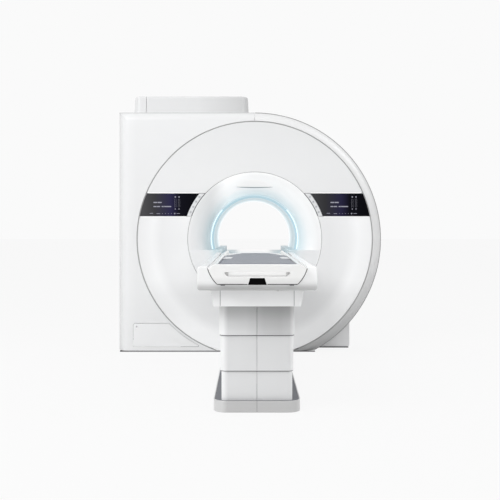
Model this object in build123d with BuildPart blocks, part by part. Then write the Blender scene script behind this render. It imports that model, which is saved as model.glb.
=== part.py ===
from build123d import *
import os
from math import asin, cos, degrees, radians, sin, sqrt

os.makedirs("parts", exist_ok=True)

# Wide-bore magnetic resonance imaging scanner with a fixed patient table.
# Frame: the origin is the floor point under the isocentre, X to the right as seen from the table,
# Y along the bore and away from the table, Z up. Lengths are millimetres.

# Bore and outer radius of the covers, which the magnet, the axis height and the face follow
bore_radius = 375
bore_surround = 756
cover_outer_radius = bore_radius + bore_surround
housing_side = 79
magnet_clearance = 181
magnet_rise = 50
cover_left_reach = cover_outer_radius + housing_side
magnet_outer_radius = cover_outer_radius - magnet_clearance
bore_axis_height = magnet_outer_radius + magnet_rise

# Gantry, with the gaps and overlaps that many pieces share
gantry_length = 1700
running_gap = 0.3
seat_gap = 0.2
seam = 3
bond = 1

# Outer covers
cover_wall = 8
cover_edge_radius = 82
floor_gap = 10
front_cover_depth = 250
joggle_length = 22
joggle_wall = 6
plinth_inset = 261
plinth_reach = cover_outer_radius - plinth_inset
plinth_corner_radius = 20

# Round front face, split into panels by the displays
bezel_width = 88
face_radius = cover_outer_radius - bezel_width
face_shadow_gap = 9
panel_depth = 40
panel_edge_radius = 5
flare_throat_step = 27
flare_throat_radius = bore_radius + flare_throat_step
flare_spread = 190
flare_radius = flare_throat_radius + flare_spread
flare_length = 300
flare_wall = 6
rear_flare_spread = 125
rear_flare_radius = bore_radius + rear_flare_spread
rear_flare_length = 279
strip_width = 40
display_rise = 202
display_height = 201
display_bottom = bore_axis_height + display_rise
display_top = display_bottom + display_height
display_thickness = 35
light_ring_length = 20

# Push buttons on the control strips
buttons_per_strip = 4
button_radius = 11
button_proud = 2
button_travel = 1.5
button_gap = 0.4
button_flange_width = 2.5
flange_gap = 0.5

# Cover frames
frame_offset = 50
frame_plate = 10
frame_inset = 56
frame_outer_radius = cover_outer_radius - frame_inset
frame_overlap = 12
frame_inner_radius = flare_radius - frame_overlap
boss_radius = 18
boss_circle_radius = (face_radius + flare_radius) / 2

# Magnet
rf_standoff = 23
rf_inner_radius = bore_radius + rf_standoff
gradient_standoff = 27
gradient_inner_radius = rf_inner_radius + gradient_standoff
gradient_height = 65
warm_bore_radius = gradient_inner_radius + gradient_height
magnet_length = 1500
vessel_wall = 10
shield_spacing = 20
shield_wall = 5
helium_spacing = 20
helium_wall = 8
coil_share = 0.305
flange_share = 0.064
coil_flange = 20
spool_wall = 22
shield_coil_width = 150
rod_radius = 12
rod_gap = 0.6
gradient_length = 1300
rf_wall = 6
rf_length = 1050
rung_count = 16
rung_width = 20
rung_height = 4
end_ring_length = 20

# Magnet feet and their anchor holes
foot_inset = 400
foot_spacing = 2 * (magnet_outer_radius - foot_inset)
foot_width = 260
foot_end_gap = 20
foot_length = gantry_length - 2 * (front_cover_depth + foot_end_gap)
foot_plate = 25
foot_web_width = 180
foot_web_inset = 90
foot_web_length = foot_length - 2 * foot_web_inset
anchor_inset = 40
anchor_spacing_y = foot_length - 2 * anchor_inset
anchor_hole_radius = 11

# Service turret
neck_radius = 140
neck_x = -450
neck_rise = 49
neck_top = bore_axis_height + cover_outer_radius + neck_rise
cold_head_height = 120
cold_head_radius = 70
cold_head_flange_inset = 30
cold_head_flange_height = 15
turret_inset = 78
turret_left = turret_inset - cover_left_reach
turret_right = -51
turret_side_width = 120
turret_front = -450
turret_length = 1000
turret_height = 201
turret_corner_radius = 90
turret_left_radius = 60
turret_edge_radius = 20
turret_draft = 3
turret_wall = 6
neck_opening_gap = 20

# Service door in the left front cover
door_inset = 131.5
door_left = door_inset - cover_left_reach
door_bottom = 44
door_top = 254
door_corner_radius = 24
door_hinge_corner_radius = 6
door_strip = 16
hinge_rise = 6
hinge_flat_height = 10
hinge_pin_radius = 2.5
hinge_pin_length = 36
hinge_pin_gap = 0.05
lock_inset = 31
lock_radius = 9
lock_gap = 0.1
lock_tongue = 45
lock_tongue_thickness = 3
lock_slot_width = 2.2
lock_slot_length = 11
lock_slot_depth = 2

# Bridge through the bore
shelf_drop = 100
shelf_thickness = 12
track_depth = 45
shelf_top = bore_axis_height - shelf_drop
track_floor = shelf_top - track_depth
track_half_width = 295

# Patient table, with its heights hung from the shelf in the bore
table_step = 1
table_top_height = shelf_top - table_step
cradle_front = -3449
cradle_length = 2579
cradle_half_width = 283
cradle_top_half_width = 244
cradle_bottom_half_width = 228
cradle_shoulder_drop = 24
cradle_shoulder_height = table_top_height - cradle_shoulder_drop
cradle_drop = 115
cradle_bottom_height = table_top_height - cradle_drop
cradle_block_length = 150
board_drop = 37
cradle_board_bottom = table_top_height - board_drop
cradle_travel = 1700
track_end_room = 9
cradle_edge_radius = 6
cradle_heel_radius = 14
cradle_side_bow = 7
track_clearance = 5
glide_half_spacing = 195
glide_width = 24
mattress_half_width = 227
mattress_length = 1800
mattress_corner_width = 108
mattress_corner_length = 470
bed_drop = 27
mattress_bed = table_top_height - bed_drop
mattress_rise = 3
mattress_top = table_top_height + mattress_rise
mattress_inset = 50
mattress_edge_radius = 11
handle_half_width = 193
handle_slant = 26
handle_drop = 43
handle_height = 24
handle_top = table_top_height - handle_drop
handle_bottom = handle_top - handle_height
handle_corner_radius = 6
handle_depth = 36
latch_bottom_width = 106
latch_top_width = 82
latch_height = 39
latch_travel = 6
latch_depth = 30
latch_gap = 0.8

# Table frame, under-box and column
frame_front = -3339
frame_end = -860
wing_half_width = 345
wing_top_drop = 17
wing_top = table_top_height - wing_top_drop
wing_drop = 155
wing_bottom = table_top_height - wing_drop
wing_lower_radius = 14
wing_upper_radius = 16
frame_edge_radius = 8
lug_wall = 8
lug_half_height = 16
box_front = -3289
box_length = 2100
box_half_width = 274
box_height = 96
box_bottom = wing_bottom - box_height
box_side_lean = 18
box_corner_radius = 14
box_wall = 4
box_groove_x = 215
box_groove_width = 4
box_groove_depth = 2
column_front = -3149
column_length = 1150
column_width = 455
column_wall = 6.2
column_gap = 0.8
column_corner_radius = 40
column_slit = 2
lower_cover_share = 0.306
middle_cover_share = 0.371
cover_overlap = 58
cover_tuck = 32
upper_cover_top = box_bottom + cover_tuck

# Base
base_front = -3161
base_length = 1900
base_width = 524
base_height = 70
base_corner_radius = 80
base_rim_wall = 6
base_rim_edge_radius = 2
base_top_drop = 2
base_anchor_x = 340
base_anchor_y = 900
base_anchor_radius = 9

# Lift ram
barrel_radius = 60
ram_wall = 6
ram_overlap = 60
ram_gap = 0.3
barrel_drop = 384
stage_drop = 199
barrel_top = wing_bottom - barrel_drop
stage_top = wing_bottom - stage_drop

# Cradle drive
belt_x = 120
belt_drop = 32
belt_height = wing_bottom - belt_drop
pulley_radius = 22
pulley_width = 30
belt_thickness = 3
belt_width = 26
drive_pulley_y = -3200
idler_pulley_y = -1500
shaft_radius = 6
shaft_gap = 0.05
motor_radius = 29
motor_length = 95
clamp_width = 12
clamp_length = 20
slot_half_width = 10

# Derived places shared by several pieces
front_y = -gantry_length / 2
rear_y = gantry_length / 2
axis_z = bore_axis_height
bore_axis = Axis((0, 0, axis_z), (0, 1, 0))
bore_plane = Plane.XY.offset(axis_z)
cover_split = front_y + front_cover_depth
face_inner_radius = face_radius - face_shadow_gap / 2
face_outer_radius = face_radius + face_shadow_gap / 2
throat_y = front_y + flare_length
rear_throat_y = rear_y - rear_flare_length
frame_y = front_y + frame_offset
magnet_end = magnet_length / 2
column_center_y = column_front + column_length / 2
block_rear = cradle_front + cradle_block_length
deep_track_end = block_rear + cradle_travel + track_end_room
table_end = cradle_front + cradle_length
column_room = box_bottom - base_height
middle_cover_bottom = base_height + column_room * lower_cover_share
upper_cover_bottom = middle_cover_bottom + column_room * middle_cover_share


def across(y):
    """Plane across the bore at a Y station: sketch x is X and sketch y is Z."""
    return Plane.XZ.offset(-y)


def face_area(inner, outer, low, high, side=0):
    """Part of the round front face between two radii and two heights, on one side or on both."""
    with Locations((0, axis_z)):
        Circle(outer)
        Circle(inner, mode=Mode.SUBTRACT)
    left = -outer if side <= 0 else 0
    right = outer if side >= 0 else 0
    with Locations(((left + right) / 2, (low + high) / 2)):
        Rectangle(right - left, high - low, mode=Mode.INTERSECT)


def tube(inner, outer, start, end):
    """Tube about the bore axis between two Y stations, or a solid bar where inner is 0."""
    with BuildPart() as ring:
        with BuildSketch(across(start)):
            with Locations((0, axis_z)):
                Circle(outer)
                if inner:
                    Circle(inner, mode=Mode.SUBTRACT)
        extrude(amount=start - end)
    return ring.part


def slab(left, right, front, back, low, high):
    """Rectangular block between its six faces."""
    with BuildPart() as block:
        with BuildSketch(Plane.XY.offset(low)):
            with Locations(((left + right) / 2, (front + back) / 2)):
                Rectangle(right - left, back - front)
        extrude(amount=high - low)
    return block.part


def housing_block(inset, start, end, edge_radius=0, end_face=0, bottom=floor_gap):
    """Housing solid, flat at the left and round about the bore at the right, one end rounded."""
    radius = cover_outer_radius - inset
    with BuildPart() as round_side:
        add(tube(0, radius, start, end))
        if edge_radius:
            fillet(round_side.faces().sort_by(Axis.Y)[end_face].edges(), edge_radius)
        add(slab(0, radius, start, end, bottom, axis_z + radius), mode=Mode.INTERSECT)
    with BuildPart() as block:
        add(slab(inset - cover_left_reach, 0, start, end, bottom, axis_z + radius))
        if edge_radius:
            rim = block.faces().sort_by(Axis.Y)[end_face].edges()
            left_edge = rim.sort_by(Axis.X)[0]
            top_edge = rim.sort_by(Axis.Z)[-1]
            fillet([left_edge, top_edge], edge_radius)
        add(round_side.part)
    return block.part


def rod_across(x, y, z, radius, length):
    """Round bar along X that starts at x."""
    with BuildPart() as bar:
        with BuildSketch(Plane.YZ.offset(x)):
            with Locations((y, z)):
                Circle(radius)
        extrude(amount=length)
    return bar.part


def bell_mouth(center_radius, throat_radius, throat, mouth, offset):
    """Quarter ellipse from a mouth to a throat, on the bore plane."""
    across_axis = center_radius - throat_radius - offset
    along_axis = abs(mouth - throat) - offset
    first = 180 if mouth < throat else 90
    return EllipticalCenterArc((center_radius, throat), across_axis, along_axis, first, arc_size=90)


# Space that a patient, the cradle and the bridge share inside the covers
with BuildPart() as bore_space:
    with BuildSketch(bore_plane):
        with BuildLine():
            front_mouth = bell_mouth(flare_radius, flare_throat_radius, throat_y, front_y, -running_gap)
            rear_mouth = bell_mouth(rear_flare_radius, bore_radius, rear_throat_y, rear_y, -running_gap)
            Polyline(
                front_mouth @ 0,
                (bore_radius - running_gap, throat_y),
                rear_mouth @ 1,
            )
            Polyline(
                front_mouth @ 1,
                (0, front_y - running_gap),
                (0, rear_y + running_gap),
                rear_mouth @ 0,
            )
        make_face()
    revolve(axis=bore_axis)

# Magnet
with BuildPart() as vacuum_vessel:
    add(tube(warm_bore_radius, magnet_outer_radius, -magnet_end, magnet_end))
    add(
        tube(
            warm_bore_radius + vessel_wall,
            magnet_outer_radius - vessel_wall,
            vessel_wall - magnet_end,
            magnet_end - vessel_wall,
        ),
        mode=Mode.SUBTRACT,
    )
vacuum_vessel.part.label = "vacuum_vessel"
export_step(vacuum_vessel.part, "parts/vacuum_vessel.step")

shield_inset = vessel_wall + shield_spacing
helium_inset = shield_inset + shield_wall + helium_spacing
helium_outer_radius = magnet_outer_radius - helium_inset
helium_inner_radius = warm_bore_radius + helium_inset
helium_end = magnet_end - helium_inset
rod_station = helium_end / 2

with BuildPart() as suspension_rods:
    for y in (-rod_station, rod_station):
        for angle in (45, 135, 225, 315):
            radial = Plane(
                origin=(0, y, axis_z),
                x_dir=(0, 1, 0),
                z_dir=(cos(radians(angle)), 0, sin(radians(angle))),
            )
            with BuildSketch(radial.offset(helium_outer_radius + running_gap)):
                Circle(rod_radius)
            extrude(amount=helium_inset - vessel_wall - 2 * running_gap)
suspension_rods.part.label = "suspension_rods"
export_step(suspension_rods.part, "parts/suspension_rods.step")

with BuildPart() as radiation_shield:
    add(
        tube(
            warm_bore_radius + shield_inset,
            magnet_outer_radius - shield_inset,
            shield_inset - magnet_end,
            magnet_end - shield_inset,
        )
    )
    add(
        tube(
            warm_bore_radius + shield_inset + shield_wall,
            magnet_outer_radius - shield_inset - shield_wall,
            shield_inset + shield_wall - magnet_end,
            magnet_end - shield_inset - shield_wall,
        ),
        mode=Mode.SUBTRACT,
    )
    for y in (-rod_station, rod_station):
        for angle in (45, 135, 225, 315):
            radial = Plane(
                origin=(0, y, axis_z),
                x_dir=(0, 1, 0),
                z_dir=(cos(radians(angle)), 0, sin(radians(angle))),
            )
            with BuildSketch(radial.offset(helium_outer_radius)):
                Circle(rod_radius + rod_gap)
            extrude(amount=helium_inset, mode=Mode.SUBTRACT)
radiation_shield.part.label = "radiation_shield"
export_step(radiation_shield.part, "parts/radiation_shield.step")

with BuildPart() as helium_vessel:
    add(tube(helium_inner_radius, helium_outer_radius, -helium_end, helium_end))
    add(
        tube(
            helium_inner_radius + helium_wall,
            helium_outer_radius - helium_wall,
            helium_wall - helium_end,
            helium_end - helium_wall,
        ),
        mode=Mode.SUBTRACT,
    )
helium_vessel.part.label = "helium_vessel"
export_step(helium_vessel.part, "parts/helium_vessel.step")

spool_inner_radius = helium_inner_radius + helium_wall + running_gap
spool_outer_radius = spool_inner_radius + spool_wall
spool_end = helium_end - helium_wall - running_gap
shield_coil_outer = helium_outer_radius - helium_wall - running_gap
coil_room = shield_coil_outer - spool_outer_radius
coil_height = coil_room * coil_share
coil_slots = 6
slot_pitch = (2 * spool_end - coil_flange) / coil_slots

with BuildPart() as coil_former:
    add(tube(spool_inner_radius, spool_outer_radius, -spool_end, spool_end))
    for index in range(coil_slots + 1):
        flange_start = -spool_end + index * slot_pitch
        flange_end = flange_start + coil_flange
        add(
            tube(
                spool_outer_radius - bond,
                spool_outer_radius + coil_height + coil_room * flange_share,
                flange_start,
                flange_end,
            )
        )
coil_former.part.label = "coil_former"
export_step(coil_former.part, "parts/coil_former.step")

with BuildPart() as superconducting_coils:
    for index in range(coil_slots):
        coil_start = -spool_end + index * slot_pitch + coil_flange + running_gap
        coil_end = -spool_end + (index + 1) * slot_pitch - running_gap
        add(
            tube(
                spool_outer_radius + running_gap,
                spool_outer_radius + coil_height,
                coil_start,
                coil_end,
            )
        )
    for start in (running_gap - spool_end, spool_end - running_gap - shield_coil_width):
        add(
            tube(
                shield_coil_outer - coil_height,
                shield_coil_outer,
                start,
                start + shield_coil_width,
            )
        )
superconducting_coils.part.label = "superconducting_coils"
export_step(superconducting_coils.part, "parts/superconducting_coils.step")

with BuildPart() as gradient_coil:
    add(
        tube(
            gradient_inner_radius,
            warm_bore_radius - running_gap,
            -gradient_length / 2,
            gradient_length / 2,
        )
    )
gradient_coil.part.label = "gradient_coil"
export_step(gradient_coil.part, "parts/gradient_coil.step")

with BuildPart() as rf_body_coil:
    add(tube(rf_inner_radius, rf_inner_radius + rf_wall, -rf_length / 2, rf_length / 2))
    for start in (-rf_length / 2, rf_length / 2 - end_ring_length):
        add(
            tube(
                rf_inner_radius + rf_wall - bond,
                gradient_inner_radius - running_gap,
                start,
                start + end_ring_length,
            )
        )
    rung_middle = rf_inner_radius + rf_wall + rung_height / 2 - bond
    with BuildSketch(across(-rf_length / 2)):
        with Locations((0, axis_z)):
            with PolarLocations(rung_middle, rung_count):
                Rectangle(rung_height + 2 * bond, rung_width)
    extrude(amount=-rf_length)
rf_body_coil.part.label = "rf_body_coil"
export_step(rf_body_coil.part, "parts/rf_body_coil.step")

liner_start = throat_y + light_ring_length + 2 * seat_gap
liner_end = rear_throat_y - seat_gap
liner_wall = 5

with BuildPart() as bore_liner:
    add(tube(bore_radius, bore_radius + liner_wall, liner_start, liner_end))
    for start in (-rf_length / 2, rf_length / 2 - end_ring_length):
        add(
            tube(
                bore_radius + liner_wall - bond,
                rf_inner_radius - running_gap,
                start,
                start + end_ring_length,
            )
        )
bore_liner.part.label = "bore_liner"
export_step(bore_liner.part, "parts/bore_liner.step")

with BuildPart() as magnet_feet:
    for x in (-foot_spacing / 2, foot_spacing / 2):
        with BuildSketch():
            with Locations((x, 0)):
                Rectangle(foot_width, foot_length)
            with Locations((x, -anchor_spacing_y / 2), (x, anchor_spacing_y / 2)):
                Circle(anchor_hole_radius, mode=Mode.SUBTRACT)
        extrude(amount=foot_plate)
        with BuildSketch(Plane.XY.offset(foot_plate)):
            with Locations((x, 0)):
                Rectangle(foot_web_width, foot_web_length)
        extrude(amount=axis_z / 2)
    add(tube(0, magnet_outer_radius + seat_gap, -magnet_end, magnet_end), mode=Mode.SUBTRACT)
magnet_feet.part.label = "magnet_feet"
export_step(magnet_feet.part, "parts/magnet_feet.step")

with BuildPart() as service_neck:
    with BuildSketch(Plane.XY.offset(axis_z + magnet_outer_radius / 2)):
        with Locations((neck_x, 0)):
            Circle(neck_radius)
    extrude(amount=neck_top - axis_z - magnet_outer_radius / 2)
    add(tube(0, magnet_outer_radius + seat_gap, -magnet_end, magnet_end), mode=Mode.SUBTRACT)
service_neck.part.label = "service_neck"
export_step(service_neck.part, "parts/service_neck.step")

with BuildPart() as cold_head:
    with BuildSketch(Plane.XY.offset(neck_top + seat_gap)):
        with Locations((neck_x, 0)):
            Circle(neck_radius - cold_head_flange_inset)
    extrude(amount=cold_head_flange_height)
    with BuildSketch(Plane.XY.offset(neck_top + seat_gap)):
        with Locations((neck_x, 0)):
            Circle(cold_head_radius)
    extrude(amount=cold_head_height)
cold_head.part.label = "cold_head"
export_step(cold_head.part, "parts/cold_head.step")

# Cover frames, bolted to both ends of the magnet
rear_frame_y = rear_y - frame_offset
boss_angles = (60, 90, 120, 200, 220, 320, 340)
display_boss_height = (display_bottom + display_top) / 2 - axis_z
display_boss_x = sqrt(boss_circle_radius**2 - display_boss_height**2)

with BuildPart() as front_cover_frame:
    with BuildSketch(across(frame_y)):
        face_area(
            frame_inner_radius,
            frame_outer_radius,
            2 * floor_gap,
            axis_z + frame_outer_radius,
        )
    extrude(amount=-frame_plate)
    with BuildSketch(across(front_y + cover_wall + seat_gap)):
        with Locations((0, axis_z)):
            for angle in boss_angles:
                with PolarLocations(boss_circle_radius, 1, start_angle=angle):
                    Circle(boss_radius)
    extrude(amount=front_y + cover_wall + seat_gap - frame_y)
    with BuildSketch(across(front_y + display_thickness + seat_gap)):
        with Locations(
            (-display_boss_x, axis_z + display_boss_height),
            (display_boss_x, axis_z + display_boss_height),
        ):
            Circle(boss_radius)
    extrude(amount=front_y + display_thickness + seat_gap - frame_y)
    with BuildSketch(across(frame_y + frame_plate)):
        with Locations((0, axis_z)):
            for angle in boss_angles:
                with PolarLocations(boss_circle_radius, 1, start_angle=angle):
                    Circle(boss_radius)
    extrude(amount=frame_y + frame_plate + magnet_end + seat_gap)
front_cover_frame.part.label = "front_cover_frame"
export_step(front_cover_frame.part, "parts/front_cover_frame.step")

with BuildPart() as rear_cover_frame:
    with BuildSketch(across(rear_frame_y - frame_plate)):
        face_area(
            frame_inner_radius,
            frame_outer_radius,
            2 * floor_gap,
            axis_z + frame_outer_radius,
        )
    extrude(amount=-frame_plate)
    with BuildSketch(across(magnet_end + seat_gap)):
        with Locations((0, axis_z)):
            for angle in boss_angles:
                with PolarLocations(boss_circle_radius, 1, start_angle=angle):
                    Circle(boss_radius)
    extrude(amount=magnet_end + 2 * seat_gap + cover_wall - rear_y)
rear_cover_frame.part.label = "rear_cover_frame"
export_step(rear_cover_frame.part, "parts/rear_cover_frame.step")

# Front panels, each a tray with a returned edge
panel_inner_radius = flare_radius + seam
panel_rim_depth = panel_depth - cover_wall

with BuildPart() as front_upper_panel:
    with BuildSketch(across(front_y)):
        face_area(
            panel_inner_radius,
            face_inner_radius,
            display_top + seam / 2,
            axis_z + face_inner_radius,
        )
    extrude(amount=-panel_depth)
    fillet(front_upper_panel.faces().sort_by(Axis.Y)[0].edges(), panel_edge_radius)
    with BuildSketch(across(front_y + cover_wall)):
        face_area(
            panel_inner_radius + cover_wall,
            face_inner_radius - cover_wall,
            display_top + seam / 2 + cover_wall,
            axis_z + face_inner_radius,
        )
    extrude(amount=-panel_rim_depth, mode=Mode.SUBTRACT)
front_upper_panel.part.label = "front_upper_panel"
export_step(front_upper_panel.part, "parts/front_upper_panel.step")

with BuildPart() as front_lower_panel:
    with BuildSketch(across(front_y)):
        face_area(
            panel_inner_radius,
            face_inner_radius,
            floor_gap,
            display_bottom - seam / 2,
        )
    extrude(amount=-panel_depth)
    fillet(front_lower_panel.faces().sort_by(Axis.Y)[0].edges(), panel_edge_radius)
    with BuildSketch(across(front_y + cover_wall)):
        face_area(
            panel_inner_radius + cover_wall,
            face_inner_radius - cover_wall,
            floor_gap + cover_wall,
            display_bottom - seam / 2 - cover_wall,
        )
    extrude(amount=-panel_rim_depth, mode=Mode.SUBTRACT)
front_lower_panel.part.label = "front_lower_panel"
export_step(front_lower_panel.part, "parts/front_lower_panel.step")

# Displays and control strips, one of each at the left and at the right of the bore
strip_outer_radius = panel_inner_radius + strip_width
strip_middle_radius = panel_inner_radius + strip_width / 2
strip_low_angle = degrees(asin((display_bottom - axis_z) / strip_middle_radius))
strip_high_angle = degrees(asin((display_top - axis_z) / strip_middle_radius))
button_step = (strip_high_angle - strip_low_angle) / (buttons_per_strip + 0.5)

for side_name, side in (("left", -1), ("right", 1)):
    with BuildPart() as display:
        with BuildSketch(across(front_y)):
            face_area(
                strip_outer_radius + seam / 2,
                face_inner_radius,
                display_bottom + seam / 2,
                display_top - seam / 2,
                side,
            )
        extrude(amount=-display_thickness)
    display.part.label = f"{side_name}_display"
    export_step(display.part, f"parts/{side_name}_display.step")

    button_places = []
    for index in range(buttons_per_strip):
        angle = radians(strip_low_angle + (index + 0.75) * button_step)
        button_places.append(
            (
                side * strip_middle_radius * cos(angle),
                axis_z + strip_middle_radius * sin(angle),
            )
        )

    with BuildPart() as control_strip:
        with BuildSketch(across(front_y)):
            face_area(
                panel_inner_radius,
                strip_outer_radius - seam / 2,
                display_bottom + seam / 2,
                display_top - seam / 2,
                side,
            )
        extrude(amount=seat_gap - frame_offset)
        with BuildSketch(across(front_y + cover_wall)):
            face_area(
                panel_inner_radius + joggle_wall - seam,
                strip_outer_radius - seam / 2 - joggle_wall + seam,
                display_bottom + seam / 2 + joggle_wall,
                display_top - seam / 2 - joggle_wall,
                side,
            )
        extrude(amount=-frame_offset, mode=Mode.SUBTRACT)
        with BuildSketch(across(front_y)):
            with Locations(*button_places):
                Circle(button_radius + button_gap)
        extrude(amount=-cover_wall, mode=Mode.SUBTRACT)
    control_strip.part.label = f"{side_name}_control_strip"
    export_step(control_strip.part, f"parts/{side_name}_control_strip.step")

    for number, place in enumerate(button_places, 1):
        with BuildPart() as button:
            with BuildSketch(across(front_y - button_proud)):
                with Locations(place):
                    Circle(button_radius)
            extrude(amount=-(button_proud + cover_wall + flange_gap))
            fillet(button.faces().sort_by(Axis.Y)[0].edges(), button_proud / 2)
            with BuildSketch(across(front_y + cover_wall + flange_gap)):
                with Locations(place):
                    Circle(button_radius + button_flange_width)
            extrude(amount=-button_flange_width)
        button.part.label = f"{side_name}_button_{number}"
        export_step(button.part, f"parts/{side_name}_button_{number}.step")

# Bell mouths at both ends of the bore, and the light ring at the front throat
skirt_wall = 8

with BuildPart() as front_flare:
    with BuildSketch(bore_plane):
        with BuildLine():
            inner = bell_mouth(flare_radius, flare_throat_radius, throat_y, front_y, 0)
            outer = bell_mouth(flare_radius, flare_throat_radius, throat_y, front_y, flare_wall)
            Line(inner @ 0, outer @ 0)
            Line(inner @ 1, outer @ 1)
        make_face()
    revolve(axis=bore_axis)
    add(
        tube(
            flare_radius - skirt_wall,
            flare_radius,
            front_y + flare_wall / 2,
            frame_y - seat_gap,
        )
    )
front_flare.part.label = "front_flare"
export_step(front_flare.part, "parts/front_flare.step")

with BuildPart() as bore_light_ring:
    add(
        tube(
            bore_radius,
            flare_throat_radius + flare_wall,
            throat_y + seat_gap,
            throat_y + seat_gap + light_ring_length,
        )
    )
bore_light_ring.part.label = "bore_light_ring"
export_step(bore_light_ring.part, "parts/bore_light_ring.step")

with BuildPart() as rear_flare:
    with BuildSketch(bore_plane):
        with BuildLine():
            inner = bell_mouth(rear_flare_radius, bore_radius, rear_throat_y, rear_y, 0)
            outer = bell_mouth(rear_flare_radius, bore_radius, rear_throat_y, rear_y, flare_wall)
            Line(inner @ 0, outer @ 0)
            Line(inner @ 1, outer @ 1)
        make_face()
    revolve(axis=bore_axis)
    add(
        tube(
            rear_flare_radius - skirt_wall,
            rear_flare_radius,
            rear_frame_y,
            rear_y - flare_wall / 2,
        )
    )
rear_flare.part.label = "rear_flare"
export_step(rear_flare.part, "parts/rear_flare.step")

# Bridge: one moulding with a shelf, a sunk track for the cradle and a front apron
track_wall = 8

with BuildPart() as bore_bridge:
    with BuildSketch(across(front_y)):
        with Locations((0, shelf_top - shelf_thickness / 2)):
            Rectangle(2 * flare_radius, shelf_thickness)
        with Locations((0, (shelf_top + track_floor - shelf_thickness) / 2)):
            Rectangle(
                2 * (track_half_width + track_wall),
                shelf_top - track_floor + shelf_thickness,
            )
        with Locations((0, (shelf_top + track_floor) / 2)):
            Rectangle(
                2 * track_half_width,
                shelf_top - track_floor,
                mode=Mode.SUBTRACT,
            )
    extrude(amount=-gantry_length)
    with BuildSketch(across(front_y)):
        with Locations((0, (shelf_top - flare_radius) / 2)):
            Rectangle(2 * flare_radius, shelf_top + flare_radius - 2 * bond)
        with Locations((0, (shelf_top + track_floor - bond) / 2)):
            Rectangle(
                2 * track_half_width,
                shelf_top - track_floor + bond,
                mode=Mode.SUBTRACT,
            )
    extrude(amount=-track_wall)
    add(bore_space.part, mode=Mode.INTERSECT)
bore_bridge.part.label = "bore_bridge"
export_step(bore_bridge.part, "parts/bore_bridge.step")

# Outer covers: front and rear parts with rounded rims, flanks between them on joggled edges
door_face_radius = face_outer_radius + door_strip
rear_split = rear_y - front_cover_depth
hinge_y = front_y + cover_wall / 2
hinge_z = door_bottom + hinge_rise
hinge_right = -sqrt(door_face_radius**2 - (axis_z - hinge_z - hinge_flat_height) ** 2)
pin_half = hinge_pin_length / 2
lock_place = (door_left + lock_inset, door_top - lock_inset)
flange_wall = cover_wall


def door_area(inset):
    """Service door outline: its right side follows the round face and is flat at the hinge."""
    with BuildSketch(across(front_y)) as area:
        left = door_left + inset
        right = hinge_right - inset
        low = door_bottom + inset
        high = door_top - inset
        with Locations(((left + right) / 2, (low + high) / 2)):
            Rectangle(right - left, high - low)
        with Locations((0, axis_z)):
            Circle(door_face_radius + inset, mode=Mode.SUBTRACT)
        fillet(
            area.vertices().group_by(Axis.X)[0].sort_by(Axis.Y)[-1],
            door_corner_radius - inset,
        )
        fillet(
            area.vertices().group_by(Axis.X)[0].sort_by(Axis.Y)[0],
            door_hinge_corner_radius - inset,
        )
    return area.sketch


with BuildPart() as front_housing:
    add(housing_block(0, front_y, cover_split - seam / 2, cover_edge_radius))
    add(
        housing_block(
            cover_wall,
            front_y + cover_wall,
            cover_split,
            cover_edge_radius - cover_wall,
            bottom=floor_gap - cover_edge_radius,
        ),
        mode=Mode.SUBTRACT,
    )
    add(tube(0, face_outer_radius, front_y, cover_split), mode=Mode.SUBTRACT)
    with BuildSketch(across(front_y + cover_wall / 2)):
        face_area(
            face_outer_radius,
            face_outer_radius + flange_wall,
            floor_gap,
            axis_z + face_outer_radius + flange_wall,
        )
    extrude(amount=cover_wall / 2 + seat_gap - frame_offset)

with BuildPart() as left_front_cover:
    add(front_housing.part)
    split(bisect_by=Plane.YZ.offset(-seam / 2), keep=Keep.BOTTOM)
    extrude(door_area(0), amount=-cover_wall, mode=Mode.SUBTRACT)
    for start in (door_left - pin_half, hinge_right - pin_half):
        add(
            rod_across(start, hinge_y, hinge_z, hinge_pin_radius + hinge_pin_gap, hinge_pin_length),
            mode=Mode.SUBTRACT,
        )
left_front_cover.part.label = "left_front_cover"
export_step(left_front_cover.part, "parts/left_front_cover.step")

with BuildPart() as bezel_ring:
    add(front_housing.part)
    split(bisect_by=Plane.YZ.offset(seam / 2), keep=Keep.TOP)
bezel_ring.part.label = "bezel_ring"
export_step(bezel_ring.part, "parts/bezel_ring.step")

with BuildPart() as service_door:
    extrude(door_area(seam), amount=-cover_wall)
    with BuildSketch(across(front_y)):
        with Locations(lock_place):
            Circle(lock_radius + lock_gap)
    extrude(amount=-cover_wall, mode=Mode.SUBTRACT)
    for start in (door_left - pin_half, hinge_right - pin_half):
        add(
            rod_across(start, hinge_y, hinge_z, hinge_pin_radius + hinge_pin_gap, hinge_pin_length),
            mode=Mode.SUBTRACT,
        )
service_door.part.label = "service_door"
export_step(service_door.part, "parts/service_door.step")

with BuildPart() as door_hinge_pins:
    for start in (door_left - pin_half, hinge_right - pin_half):
        add(
            rod_across(
                start + running_gap,
                hinge_y,
                hinge_z,
                hinge_pin_radius,
                hinge_pin_length - 2 * running_gap,
            )
        )
door_hinge_pins.part.label = "door_hinge_pins"
export_step(door_hinge_pins.part, "parts/door_hinge_pins.step")

with BuildPart() as door_lock:
    with BuildSketch(across(front_y - button_proud / 2)):
        with Locations(lock_place):
            Circle(lock_radius)
    extrude(amount=-(button_proud / 2 + cover_wall + flange_gap))
    with BuildSketch(across(front_y + cover_wall + flange_gap)):
        with Locations(lock_place):
            Circle(lock_radius)
        with Locations((lock_place[0], lock_place[1] - lock_tongue / 2)):
            Rectangle(lock_radius, lock_tongue)
    extrude(amount=-lock_tongue_thickness)
    with BuildSketch(across(front_y - button_proud / 2)):
        with Locations(lock_place):
            Rectangle(lock_slot_width, lock_slot_length)
    extrude(amount=-lock_slot_depth, mode=Mode.SUBTRACT)
door_lock.part.label = "door_lock"
export_step(door_lock.part, "parts/door_lock.step")

flank_start = cover_split + seam / 2
flank_end = rear_split - seam / 2
lip_inset = cover_wall + running_gap

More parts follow.
